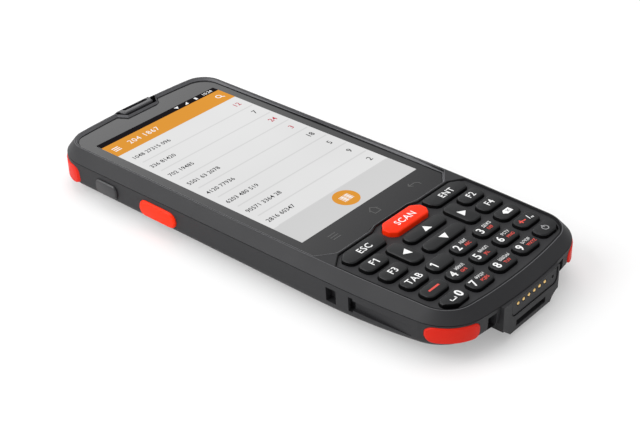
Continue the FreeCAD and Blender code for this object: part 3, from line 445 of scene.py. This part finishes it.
def rim_slope(name, width, height):
    """Wedge that leans from the glass up to the rim, low along the end that has no rim."""
    places = outline(name)
    lowest = min(place.y for place in places)
    corners = []
    for place, after in zip(places, places[1:] + places[:1]):
        corners.append(place)
        if abs(after.y - place.y) > LONG_SIDE:
            corners.append(place.lerp(after, abs(lowest + RIM_START - place.y) / abs(after.y - place.y)))
    bm = edge_band(corners, width)
    bmesh.ops.translate(bm, vec=(0, 0, LAYER), verts=bm.verts)
    bands = bm.faces[:]
    outer = {min(bm.verts, key=lambda v: (v.co - corner).length): corner for corner in corners}
    raised = {}
    for v, corner in outer.items():
        with_rim = corner.y > lowest + RIM_START - LAYER
        raised[v] = bm.verts.new(v.co + Vector((0, 0, height if with_rim else LAYER)))
    for band in bands:
        a, b = [v for v in band.verts if v in raised]
        inner_a, inner_b = (
            next(e.other_vert(v) for e in v.link_edges if e in band.edges and e.other_vert(v) not in raised)
            for v in (a, b)
        )
        bm.faces.new((a, b, raised[b], raised[a]))
        bm.faces.new((raised[a], raised[b], inner_b))
        bm.faces.new((raised[a], inner_b, inner_a))
    bmesh.ops.recalc_face_normals(bm, faces=bm.faces)
    return bm


def placed(x, y, z, turn=0.0, scale=(1, 1, 1)):
    """Matrix for a flat mark."""
    return Matrix.Translation((x, y, z)) @ Matrix.Rotation(turn, 4, "Z") @ Matrix.Diagonal((*scale, 1))


def bar(bm, x, y, z, wide, deep, degrees=0.0):
    """Flat bar with its middle at x, y."""
    place = placed(x, y, z, math.radians(degrees), (wide, deep, 1))
    bmesh.ops.create_grid(bm, x_segments=1, y_segments=1, size=0.5, matrix=place)


def ring(bm, x, y, z, radius, width):
    """Flat ring, spun from a short radial edge."""
    a = bm.verts.new((x + radius, y, z))
    b = bm.verts.new((x + radius - width, y, z))
    edge = bm.edges.new((a, b))
    bmesh.ops.spin(
        bm, geom=[a, b, edge], cent=(x, y, z), axis=(0, 0, 1), dvec=(0, 0, 0), angle=2 * math.pi, steps=28,
        use_merge=True, use_duplicate=False,
    )


def polygon(bm, points, z, middle):
    """Flat mark with its corners given round a middle."""
    bm.faces.new([bm.verts.new((middle[0] + x, middle[1] + y, z)) for x, y in points])


def lettered(bm, text, x, y, z, height, weight=0.01, squeeze=1.0, align="CENTER", spacing=1.0):
    """Adds a word in the plain built-in face, its capitals as high as given."""
    curve = bpy.data.curves.new("lettering", "FONT")
    curve.body = text
    curve.size = height / CAPITAL_SHARE
    curve.align_x = align
    curve.align_y = "CENTER"
    curve.offset = weight * height
    curve.space_character = spacing
    curve.resolution_u = 3
    holder = bpy.data.objects.new("lettering", curve)
    bpy.context.scene.collection.objects.link(holder)
    bpy.context.view_layer.update()
    mesh = bpy.data.meshes.new_from_object(holder.evaluated_get(bpy.context.evaluated_depsgraph_get()))
    mesh.transform(placed(x, y, z, 0.0, (squeeze, 1, 1)))
    bm.from_mesh(mesh)
    bpy.data.objects.remove(holder)
    bpy.data.curves.remove(curve)
    bpy.data.meshes.remove(mesh)


def one(bm, x, y, z, height):
    """Figure one with its flag, as a stem and a short bar."""
    bar(bm, x, y, z, 0.17 * height, height)
    bar(bm, x - 0.15 * height, y + 0.36 * height, z + INK / 4, 0.36 * height, 0.15 * height, 38)


def inked(bm):
    """Turns flat marks up and gives them their thickness."""
    bmesh.ops.remove_doubles(bm, verts=bm.verts, dist=0.001 * MM)
    bm.normal_update()
    bmesh.ops.reverse_faces(bm, faces=[f for f in bm.faces if f.normal.z < 0])
    grown = bmesh.ops.extrude_face_region(bm, geom=bm.faces[:])["geom"]
    lifted = [v for v in grown if isinstance(v, bmesh.types.BMVert)]
    bmesh.ops.translate(bm, vec=(0, 0, INK), verts=lifted)
    bmesh.ops.recalc_face_normals(bm, faces=bm.faces)
    return bm


def centre_and_top(name):
    """Middle of a frame node in plan, and its height."""
    low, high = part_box(name)
    return (low.x + high.x) / 2, (low.y + high.y) / 2, high.z


class TERMINAL_OT_housings(bpy.types.Operator):
    """Front and back housing, battery cover, dock plate, seal and earpiece bar"""

    bl_idname = "terminal.housings"
    bl_label = "Finish the Housings"

    BRIDGE_FALL = 1.55 * MM  # the earpiece bar's top ends this far from its back

    def execute(self, context):
        look = looks(context, "housing")
        shell = moulded("charcoal_moulding", look.charcoal, look.roughness)
        dress(["front_housing", "back_housing", "battery_cover", "dock_plate"], shell)
        self.bridge(moulded("earpiece_bar_moulding", shaded(look.charcoal, 2.4), 0.42, gloss=0.5), look)
        dress(["housing_seal"], moulded("black_seam_rubber", look.seam, 0.7, scuffs=0.03))
        return {"FINISHED"}

    def bridge(self, finish, look):
        """Earpiece bar whose back slopes down with the bevel of the rim."""
        bm = merged_copy("earpiece_bridge")
        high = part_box("earpiece_bridge")[1]
        bmesh.ops.bisect_plane(
            bm, geom=bm.verts[:] + bm.edges[:] + bm.faces[:], plane_co=(0, high.y - self.BRIDGE_FALL, high.z),
            plane_no=(0, 1, 1.1), clear_outer=True,
        )
        bmesh.ops.holes_fill(bm, edges=[e for e in bm.edges if e.is_boundary], sides=0)
        soften(bm, look.edge, 2, 20.0)
        piece("earpiece_bridge_finish", bm, [finish], replaced="earpiece_bridge")


class TERMINAL_OT_glass(bpy.types.Operator):
    """Cover glass with its black edge line of painted gap shade, and the panel under it"""

    bl_idname = "terminal.glass"
    bl_label = "Finish the Cover Glass"

    def execute(self, context):
        look = looks(context, "housing")
        dress(["touch_glass"], glossy("cover_glass", linear(0x1C1C1E), 0.08))
        dress(["display_panel"], glossy("display_back", linear(0x101012), 0.2))
        black = painted_gap_shade(look)
        # black band of painted shade inside the glass edge, standing in for the shade in the gap to the rim
        piece("glass_edge_shade_line", outer_line("touch_glass", look.glass_gap_shade), [black])
        return {"FINISHED"}


class TERMINAL_OT_rim(bpy.types.Operator):
    """Painted shade lines along the rim and the dock plate, a painted highlight along the crease, and the
    slope down to the glass, painted lighter than the moulding
    """

    bl_idname = "terminal.rim"
    bl_label = "Line the Rim"

    def execute(self, context):
        look = looks(context, "housing")
        black = painted_gap_shade(look)
        # paler charcoal for the painted highlight along the crease
        painted_crease_highlight = moulded("crease_highlight", linear(0x5C5C5F), 0.4, scuffs=0.02, gloss=0.5)
        # painted light: the slope faces away from the lamps, so it is coloured much paler than the charcoal
        # to show as lit moulding
        slope = moulded("rim_slope_painted_light", linear(0x606063), 0.45)
        inner, outer = land_lines("front_housing", look.groove_shade, look.crease)
        # black bands of painted shade along the rim's inner edge and round the dock plate, standing in for
        # the shade in the gaps
        dock = outer_line("dock_plate", look.groove_shade, -math.pi / 2)
        piece("rim_inner_shade_line", inner, [black])
        piece("rim_crease_painted_highlight", outer, [painted_crease_highlight])
        piece("dock_edge_shade_line", dock, [black])
        piece("rim_slope", rim_slope("touch_glass", look.slope, look.rise), [slope])
        return {"FINISHED"}


class TERMINAL_OT_screen(bpy.types.Operator):
    """Lit picture: status bar, header, eight rows with numbers, round button"""

    bl_idname = "terminal.screen"
    bl_label = "Build the Screen Picture"

    # heights over the middle of the picture and places across it, in millimetres
    HEADER = 36.7
    STATUS = 41.9
    FIRST_ROW = 28.1
    ROW_PITCH = 8.06
    LINE_DROP = 3.95
    BUTTON = -37.4
    TOUCH_KEYS = -47.93
    MENU_X = -23.0
    TITLE_X = -18.0
    TEXT_X = -24.0
    COUNT_X = 22.0
    SEARCH_X = 22.4
    LEVEL_OVER_MIDDLE = 22.0  # the middle of the picture stands this far up the terminal

    ROWS = (
        "1048 27315 096", "336 81420", "702 19485", "5501 63 2078", "4120 77936", "6203 480 519",
        "90571 3364 28", "2816 60347",
    )
    COUNTS = ("12", "7", "24", "3", "18", "5", "9", "2")
    MARKED = (0, 2, 3)
    TITLE = "204 1867"
    CLOCK = "10:24"

    def execute(self, context):
        look = looks(context, "screen")
        for name in ("paper", "foot", "header", "status", "line", "text", "accent", "white", "icon"):
            bm = bmesh.new()
            getattr(self, "add_" + name)(bm, look)
            colour = linear(0xFFFFFF) if name == "white" else getattr(look, name)
            strength = look.strength * (0.4 if name == "icon" else 1.0)
            light = lit("screen_" + name + "_light", colour, strength)
            piece("screen_" + name, inked(bm), [light])
        return {"FINISHED"}

    def at(self, millimetres):
        """Level on the frame of a height over the middle of the picture."""
        return (self.LEVEL_OVER_MIDDLE + millimetres) * MM

    def depth(self, layer):
        """Height of a lit layer over the glass."""
        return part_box("touch_glass")[1].z + layer * LAYER

    def row_y(self, row):
        return self.FIRST_ROW - row * self.ROW_PITCH

    def add_paper(self, bm, look):
        bar(bm, 0, self.at(0), self.depth(1), look.width, look.height)

    def add_foot(self, bm, look):
        """Greyer field under the last row."""
        top = self.row_y(len(self.ROWS) - 1) - self.LINE_DROP
        bottom = -look.height / 2 / MM
        bar(bm, 0, self.at((top + bottom) / 2), self.depth(2), look.width, (top - bottom) * MM)

    def add_header(self, bm, look):
        """Header bar and the round button."""
        bar(bm, 0, self.at(self.HEADER), self.depth(2), look.width, 7.8 * MM)
        button = placed(0, self.at(self.BUTTON), self.depth(3))
        bmesh.ops.create_circle(bm, cap_ends=True, segments=40, radius=4.2 * MM, matrix=button)

    def add_status(self, bm, look):
        bar(bm, 0, self.at(self.STATUS), self.depth(2), look.width, 2.6 * MM)

    def add_line(self, bm, look):
        for row in range(len(self.ROWS)):
            y = self.at(self.row_y(row) - self.LINE_DROP)
            bar(bm, 0.8 * MM, y, self.depth(2), look.width - 3.2 * MM, 0.55 * MM)

    def add_text(self, bm, look):
        """Numbers in the rows, and the counts that aren't marked."""
        for row, numbers in enumerate(self.ROWS):
            y = self.at(self.row_y(row))
            lettered(bm, numbers, self.TEXT_X * MM, y, self.depth(2), 1.8 * MM, 0.012, 0.92, "LEFT", 1.05)
            if row not in self.MARKED:
                self.count(bm, row)

    def add_accent(self, bm, look):
        for row in self.MARKED:
            self.count(bm, row)

    def count(self, bm, row):
        y = self.at(self.row_y(row))
        lettered(bm, self.COUNTS[row], self.COUNT_X * MM, y, self.depth(2), 2.2 * MM)

    def add_white(self, bm, look):
        """Menu mark, title, search mark, status marks and the bars on the round button."""
        z = self.depth(3)
        header = self.at(self.HEADER)
        for step in (-1, 0, 1):
            bar(bm, self.MENU_X * MM, header + 0.95 * step * MM, z, 2.6 * MM, 0.42 * MM)
        lettered(bm, self.TITLE, self.TITLE_X * MM, header, z, 2.35 * MM, 0.0, 0.95, "LEFT", 1.12)
        ring(bm, self.SEARCH_X * MM, header + 0.3 * MM, z, 1.1 * MM, 0.35 * MM)
        bar(bm, (self.SEARCH_X + 1.1) * MM, header - 0.8 * MM, z, 1.3 * MM, 0.4 * MM, -45)
        for i in range(7):
            wide = (0.18 + 0.14 * (i % 3)) * MM
            bar(bm, (-1.8 + 0.6 * i) * MM, self.at(self.BUTTON), z + LAYER, wide, 3.0 * MM)
        self.status_marks(bm, z)

    def status_marks(self, bm, z):
        """Two wedges, a block and the clock."""
        y = self.at(self.STATUS)
        fan = [(-0.9 * MM, 0.7 * MM), (0, -0.7 * MM), (0.9 * MM, 0.7 * MM)]
        ramp = [(-0.8 * MM, -0.7 * MM), (0.8 * MM, -0.7 * MM), (0.8 * MM, 0.8 * MM)]
        polygon(bm, fan, z, (8.0 * MM, y))
        polygon(bm, ramp, z, (12.0 * MM, y))
        bar(bm, 16.6 * MM, y, z, 0.9 * MM, 1.5 * MM)
        lettered(bm, self.CLOCK, 21.8 * MM, y, z, 1.45 * MM, 0.01)

    def add_icon(self, bm, look):
        """Menu, home and back marks under the picture, as bars: place across, over the row, size and turn."""
        line = 0.32
        menu = [(-17.7, step * 1.1, 3.2, 0.35, 0) for step in (-1, 0, 1)]
        home = [
            (-0.875, 0.9625, 2.5, line, 42), (0.875, 0.9625, 2.5, line, -42), (-1.25, -0.55, line, 2.0, 0),
            (1.25, -0.55, line, 2.0, 0), (0, -1.45, 2.5, line, 0),
        ]
        back = [
            (17.8, 0.35, 2.8, line, 0), (19.7, -0.05, 1.4, line, -42), (20.15, -1.0, line, 1.1, 0),
            (17.0, 0.85, 1.5, line, 42), (17.0, -0.15, 1.5, line, -42),
        ]
        for x, y, wide, deep, degrees in menu + home + back:
            bar(bm, x * MM, self.at(self.TOUCH_KEYS + y), self.depth(1), wide * MM, deep * MM, degrees)


KEY_NAMES = sorted(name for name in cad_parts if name.startswith("key_"))

# small letters over each other beside a digit: upper white, lower red
GROUPS = {
    "key_two": ("2", "АБВГ", "ABC"),
    "key_three": ("3", "ДЕЖЗ", "DEF"),
    "key_four": ("4", "ИЙКЛ", "GHI"),
    "key_five": ("5", "МНОП", "JKL"),
    "key_six": ("6", "РСТУ", "MNO"),
    "key_seven": ("7", "ФХЦЧ", "PQRS"),
    "key_eight": ("8", "ШЩЪЫ", "TUV"),
    "key_nine": ("9", "ЬЭЮЯ", "WXYZ"),
}

WORDS = {
    "key_escape": "ESC",
    "key_enter": "ENT",
    "key_scan": "SCAN",
    "key_tab": "TAB",
    "key_f2": "F2",
    "key_f3": "F3",
    "key_f4": "F4",
}

ARROWS = {"key_arrow_up": 0, "key_arrow_left": 90, "key_arrow_down": 180, "key_arrow_right": 270}


class TERMINAL_OT_keys(bpy.types.Operator):
    """Keypad plate and the 26 rubber key caps"""

    bl_idname = "terminal.keys"
    bl_label = "Finish the Keys"

    def execute(self, context):
        look = looks(context, "keypad")
        dress(["keypad_plate"], moulded("keypad_plate_moulding", look.plate, 0.58))
        dress(["keypad_mat"], moulded("mat_rubber", shaded(look.rubber, 1.6), 0.8, scuffs=0.02))
        rubber = moulded("key_rubber", look.rubber, 0.5, relief=0.18, scuffs=0.05)
        # near-black copy of the key rubber for the steep faces: painted shade on the side walls
        painted_wall_shade = moulded("key_wall_painted_shade", look.painted_wall_shade, 0.5, relief=0.1, scuffs=0.02, gloss=0.12)
        orange = looks(context, "housing").trigger
        red = moulded("scan_key_red", orange, 0.42, relief=0.12, scuffs=0.03, gloss=0.15)
        for name in KEY_NAMES:
            finish, slot = ([red], "scan_red") if name == "key_scan" else ([rubber, painted_wall_shade], "key_rubber")
            softened_piece(name, finish, look.rounding, body=name + "_cap")
        return {"FINISHED"}


class TERMINAL_OT_legends(bpy.types.Operator):
    """Marks printed on the keys: each one's colours ride on its cap"""

    bl_idname = "terminal.legends"
    bl_label = "Print the Key Legends"

    def execute(self, context):
        look = looks(context, "keypad")
        inks = {name: printed("legend_" + name, getattr(look, name)) for name in ("white", "red", "faint")}
        for name in KEY_NAMES:
            for ink, bm in self.marks(name, look).items():
                if bm.faces:
                    piece(name + "_legend_" + ink, inked(bm), [inks[ink]], name + "_cap")
        return {"FINISHED"}

    def marks(self, name, look):
        """One bmesh of flat marks for each ink."""
        special = {
            "key_dash": self.dash, "key_sign": self.sign, "key_zero": self.zero, "key_erase": self.erase,
            "key_power": self.power,
        }
        made = {ink: bmesh.new() for ink in ("white", "red", "faint")}
        x, y, z = centre_and_top(name)
        if name in GROUPS or name == "key_one":
            self.digit(made, name, x, y, z, look)
        elif name == "key_f1":
            # the built-in face draws a bare stroke for the figure, so it has its own shape
            lettered(made["white"], "F", x - 0.75 * MM, y - 0.1 * MM, z, look.word, 0.012, 0.95)
            one(made["white"], x + 1.0 * MM, y - 0.1 * MM, z, look.word)
        elif name in WORDS:
            lettered(made["white"], WORDS[name], x, y - 0.1 * MM, z, look.word, 0.012, 0.95, "CENTER", 1.12)
        elif name in ARROWS:
            side = 1.5 * MM
            turn = Matrix.Rotation(math.radians(ARROWS[name]), 2)
            upright = ((-side, -side * 0.75), (side, -side * 0.75), (0, side * 0.85))
            polygon(made["white"], [turn @ Vector(place) for place in upright], z, (x, y - 0.3 * MM))
        else:
            special[name](made, x, y, z, look)
        return made

    def digit(self, made, name, x, y, z, look):
        """Digit at the left, with its two groups of small letters where it has them."""
        if name not in GROUPS:
            one(made["white"], x - 2.4 * MM, y, z, look.digit)
            return
        label, upper, lower = GROUPS[name]
        small = look.letters
        lettered(made["white"], label, x - 2.6 * MM, y, z, look.digit, 0.02)
        lettered(made["white"], upper, x - 0.6 * MM, y + 0.95 * MM, z, small, 0.0, 0.85, "LEFT")
        lettered(made["red"], lower, x - 0.3 * MM, y - 0.75 * MM, z, small, 0.015, 0.9, "LEFT")

    def dash(self, made, x, y, z, look):
        bar(made["red"], x, y, z, 4.3 * MM, 0.62 * MM)

    def sign(self, made, x, y, z, look):
        """Plus and minus in red, then a slash, a point and a comma."""
        lettered(made["red"], "+", x - 2.3 * MM, y, z, look.word, 0.03)
        bar(made["red"], x - 0.9 * MM, y, z, 1.1 * MM, 0.4 * MM)
        lettered(made["white"], "/.,", x + 1.6 * MM, y, z, look.word * 0.8, 0.03)

    def zero(self, made, x, y, z, look):
        """Space mark and the digit."""
        for side in (-1, 1):
            bar(made["white"], x + (side * 0.95 - 0.7) * MM, y - 0.35 * MM, z, 0.32 * MM, 0.9 * MM)
        bar(made["white"], x - 0.7 * MM, y - 0.7 * MM, z, 2.2 * MM, 0.32 * MM)
        lettered(made["white"], "0", x + 2.2 * MM, y, z, look.digit, 0.045)

    def erase(self, made, x, y, z, look):
        """Tag that points left, with a faint cross on it."""
        points = [(-1.9, 0), (-0.9, -1.0), (1.7, -1.0), (1.7, 1.0), (-0.9, 1.0)]
        polygon(made["white"], [(px * MM, py * MM) for px, py in points], z, (x, y))
        for turn in (45, -45):
            bar(made["faint"], x + 0.4 * MM, y, z + LAYER, 1.4 * MM, 0.26 * MM, turn)

    def power(self, made, x, y, z, look):
        """Ring with a bar through its top."""
        ring(made["faint"], x - 0.4 * MM, y, z, 1.1 * MM, 0.28 * MM)
        bar(made["faint"], x - 0.4 * MM, y + 0.8 * MM, z + LAYER, 0.3 * MM, 1.3 * MM)


class TERMINAL_OT_side_controls(bpy.types.Operator):
    """Triggers and the button in the side walls"""

    bl_idname = "terminal.side_controls"
    bl_label = "Finish the Side Controls"

    def execute(self, context):
        look = looks(context, "housing")
        red = moulded("trigger_red", look.trigger, 0.42, relief=0.12, scuffs=0.04, gloss=0.15)
        for name in ("left_trigger", "right_trigger"):
            softened_piece(name, [red], look.edge, 3, name + "_cap", 20.0)
        colour = shaded(look.charcoal, 1.15)
        black = moulded("button_black", colour, 0.36, relief=0.12, scuffs=0.05, gloss=0.5)
        small = look.edge * 0.6
        softened_piece("left_button", [black], small, 2, "left_button_cap", 20.0)
        return {"FINISHED"}


class TERMINAL_OT_bumpers(bpy.types.Operator):
    """Red corner bumpers"""

    bl_idname = "terminal.bumpers"
    bl_label = "Finish the Corner Bumpers"

    def execute(self, context):
        look = looks(context, "housing")
        red = moulded("bumper_red", look.red, 0.45, relief=0.15, scuffs=0.05, gloss=0.15)
        for end in ("top", "bottom"):
            for side in ("left", "right"):
                softened_piece(f"bumper_{end}_{side}", [red], look.edge)
        return {"FINISHED"}


class TERMINAL_OT_fittings(bpy.types.Operator):
    """Contact pins, screws, windows, lenses, boards and the black inner pieces"""

    bl_idname = "terminal.fittings"
    bl_label = "Finish the Fittings"

    PINS = 6
    PIN_RADIUS = 0.56 * MM
    TIP_DOME = 0.3 * MM
    COLLAR_SET_BACK = 0.25 * MM
    INNER = (
        "battery_pack", "scan_engine", "camera_module", "loudspeaker", "earpiece_speaker", "vibration_motor",
        "side_switches",
    )

    def execute(self, context):
        self.pins(metal("gold_contact", linear(0xF6CF86), 0.3))
        dress(["housing_screws"], metal("screw_steel", linear(0x8C8E90), 0.35))
        dress(["shield_cans"], metal("tinned_steel", linear(0xBFC1C2), 0.3))
        dress(["scan_window"], glossy("scan_window_red", linear(0x3A0D10), 0.05))
        dress(["camera_lens", "flash_lens"], glossy("lens_black", linear(0x0C0C10), 0.04))
        board = moulded("board_green", linear(0x1F5A3A), 0.45, relief=0.1)
        dress(["main_board", "keypad_board"], board)
        black = moulded("inner_black", linear(0x1B1B1D), 0.5)
        dress(self.INNER, black)
        return {"FINISHED"}

    def pins(self, gold):
        """Sprung pins with domed tips, each in a black collar that fills its hole."""
        low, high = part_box("contact_pins")
        bore = (high.z - low.z) / 2
        pitch = (high.x - low.x - 2 * bore) / (self.PINS - 1)
        tips, collars = bmesh.new(), bmesh.new()
        for i in range(self.PINS):
            axis = (low.x + bore + i * pitch, low.z + bore)
            self.stub(tips, axis, low.y, high.y, self.PIN_RADIUS, self.TIP_DOME)
            self.stub(collars, axis, low.y + self.COLLAR_SET_BACK, high.y, bore, 0)
        collar = moulded("pin_collar_black", linear(0x101012), 0.5)
        piece("contact_pins_finish", tips, [gold], replaced="contact_pins")
        piece("pin_collars", collars, [collar])

    def stub(self, bm, axis, front, behind, radius, dome):
        """Cylinder along the terminal, its front edge rounded by the dome."""
        middle = (axis[0], (front + behind) / 2, axis[1])
        place = Matrix.Translation(middle) @ Matrix.Rotation(math.pi / 2, 4, "X")
        made = bmesh.ops.create_cone(
            bm, cap_ends=True, segments=24, radius1=radius, radius2=radius, depth=behind - front, matrix=place
        )["verts"]
        if dome:
            edges = {e for v in made for e in v.link_edges}
            rim = [e for e in edges if all(v.co.y < front + LAYER for v in e.verts)]
            bmesh.ops.bevel(
                bm, geom=rim, offset=dome, offset_type="OFFSET", segments=4, profile=0.5, affect="EDGES",
                material=-1,
            )


class TERMINAL_OT_stage(bpy.types.Operator):
    """Pale floor, soft lights and the camera at the photograph's angle"""

    bl_idname = "terminal.stage"
    bl_label = "Set the Stage"

    # camera place and turn about the terminal, taken from the photograph
    PLACE = (-0.252130, -0.229424, 0.217988)
    AZIMUTH = -48.3305
    ELEVATION = 32.2355
    ROLL = -1.31697
    LENS = 74.9

    # place, size in metres and power in watts
    LAMPS = {"key_light": ((-0.7, 0.4, 0.6), 0.7, 6.0), "top_light": ((0.1, 0.1, 0.9), 0.6, 2.0)}

    # the floor glows a little round the terminal, to keep its shadow, and fully far out
    NEAR, FAR = 0.15, 0.55
    NEAR_GLOW, FAR_GLOW = 0.3, 1.0

    # share of a direction that points to the top end, and how bright glossy surfaces see the world there
    DULL, BRIGHT = (0.5, 0.5), (0.7, 1.7)

    def execute(self, context):
        look = looks(context, "stage")
        self.floor(look)
        self.world(context.scene, look)
        for name, lamp in self.LAMPS.items():
            self.lamp(name, *lamp)
        self.camera(context.scene)
        context.scene.view_settings.view_transform = "Standard"
        return {"FINISHED"}

    def floor(self, look):
        bm = bmesh.new()
        bmesh.ops.create_grid(bm, x_segments=1, y_segments=1, size=look.reach / 2)
        new_object("studio_floor", bm, self.floor_paper(look))

    def floor_paper(self, look):
        """White paper that keeps the shadow, and shows pale to the camera and in reflections."""
        made = bpy.data.materials.new("studio_paper")
        made.use_nodes = True
        tree = made.node_tree
        tree.nodes.clear()
        paper = node(tree, "BsdfDiffuse", {"Color": look.floor})
        glow = node(tree, "Emission", {"Color": (1, 1, 1, 1), "Strength": 1.0})
        path = node(tree, "LightPath")
        seen = node(tree, "Math", operation="MAXIMUM")
        tree.links.new(path.outputs["Is Camera Ray"], seen.inputs[0])
        tree.links.new(path.outputs["Is Glossy Ray"], seen.inputs[1])
        away = node(tree, "VectorMath", operation="LENGTH")
        tree.links.new(node(tree, "TexCoord").outputs["Object"], away.inputs[0])
        part = node(tree, "Math", operation="MULTIPLY")
        tree.links.new(seen.outputs[0], part.inputs[0])
        glowing = spread(tree, away.outputs["Value"], self.NEAR, self.FAR, self.NEAR_GLOW, self.FAR_GLOW)
        tree.links.new(glowing, part.inputs[1])
        both = node(tree, "MixShader")
        tree.links.new(part.outputs[0], both.inputs[0])
        tree.links.new(paper.outputs[0], both.inputs[1])
        tree.links.new(glow.outputs[0], both.inputs[2])
        out = node(tree, "OutputMaterial")
        tree.links.new(both.outputs[0], out.inputs[0])
        return made

    def world(self, scene, look):
        """White to the camera, soft light all round, and a bright half for glossy surfaces."""
        world = bpy.data.worlds.new("studio")
        world.use_nodes = True
        tree = world.node_tree
        tree.nodes.clear()
        light = node(tree, "Background", {"Color": (1, 1, 1, 1), "Strength": look.sky})
        around = node(tree, "TexCoord")
        parts = node(tree, "SeparateXYZ")
        tree.links.new(around.outputs["Generated"], parts.inputs[0])
        mirrored = node(tree, "Background", {"Color": (1, 1, 1, 1)})
        (low, dull), (high, bright) = self.DULL, self.BRIGHT
        tree.links.new(spread(tree, parts.outputs["Y"], low, high, dull, bright), mirrored.inputs["Strength"])
        gloss = node(tree, "MixShader")
        white = node(tree, "Background", {"Color": (1, 1, 1, 1), "Strength": 1.0})
        path = node(tree, "LightPath")
        both = node(tree, "MixShader")
        tree.links.new(path.outputs["Is Glossy Ray"], gloss.inputs[0])
        tree.links.new(light.outputs[0], gloss.inputs[1])
        tree.links.new(mirrored.outputs[0], gloss.inputs[2])
        tree.links.new(path.outputs["Is Camera Ray"], both.inputs[0])
        tree.links.new(gloss.outputs[0], both.inputs[1])
        tree.links.new(white.outputs[0], both.inputs[2])
        out = node(tree, "OutputWorld")
        tree.links.new(both.outputs[0], out.inputs[0])
        scene.world = world

    def lamp(self, name, place, size, power):
        """Square lamp that faces the terminal."""
        light = bpy.data.lights.new(name, "AREA")
        light.size = size
        light.energy = power
        lamp = bpy.data.objects.new(name, light)
        bpy.context.scene.collection.objects.link(lamp)
        lamp.location = place
        lamp.rotation_euler = (-Vector(place)).to_track_quat("-Z", "Y").to_euler()

    def camera(self, scene):
        """Camera at the place and turn named above."""
        data = bpy.data.cameras.new("camera")
        data.sensor_width = 36.0
        data.lens = self.LENS
        data.clip_start = 0.01
        camera = bpy.data.objects.new("camera", data)
        scene.collection.objects.link(camera)
        a, e = math.radians(self.AZIMUTH), math.radians(self.ELEVATION)
        back = Vector((math.sin(a) * math.cos(e), -math.cos(a) * math.cos(e), math.sin(e)))
        right = Vector((0, 0, 1)).cross(back).normalized()
        up = back.cross(right)
        turn = Matrix((right, up, back)).transposed().to_4x4()
        camera.matrix_world = (
            Matrix.Translation(self.PLACE) @ turn @ Matrix.Rotation(math.radians(self.ROLL), 4, "Z")
        )
        scene.camera = camera


class TERMINAL_PT_looks(bpy.types.Panel):
    """Steps of the terminal's looks"""

    bl_idname = "TERMINAL_PT_looks"
    bl_label = "Data Terminal"
    bl_space_type = "VIEW_3D"
    bl_region_type = "UI"
    bl_category = "Terminal"

    def draw(self, context):
        for step in STEPS:
            self.layout.operator(step.bl_idname)
        for part in SETTINGS:
            box = self.layout.box()
            group = looks(context, part)
            for name in group.__annotations__:
                box.prop(group, name)


SETTINGS = {"housing": HousingLooks, "keypad": KeypadLooks, "screen": ScreenLooks, "stage": StageLooks}
STEPS = (
    TERMINAL_OT_housings,
    TERMINAL_OT_glass,
    TERMINAL_OT_rim,
    TERMINAL_OT_screen,
    TERMINAL_OT_keys,
    TERMINAL_OT_legends,
    TERMINAL_OT_side_controls,
    TERMINAL_OT_bumpers,
    TERMINAL_OT_fittings,
    TERMINAL_OT_stage,
)


def register():
    for cls in (*SETTINGS.values(), *STEPS, TERMINAL_PT_looks):
        bpy.utils.register_class(cls)
    for part, cls in SETTINGS.items():
        setattr(bpy.types.Scene, "terminal_" + part, bpy.props.PointerProperty(type=cls))


def unregister():
    for part in SETTINGS:
        delattr(bpy.types.Scene, "terminal_" + part)
    for cls in (TERMINAL_PT_looks, *reversed(STEPS), *reversed(SETTINGS.values())):
        bpy.utils.unregister_class(cls)


def main():
    """Runs every step in order."""
    register()
    for step in STEPS:
        group, name = step.bl_idname.split(".")
        getattr(getattr(bpy.ops, group), name)()


if __name__ == "__main__":
    main()
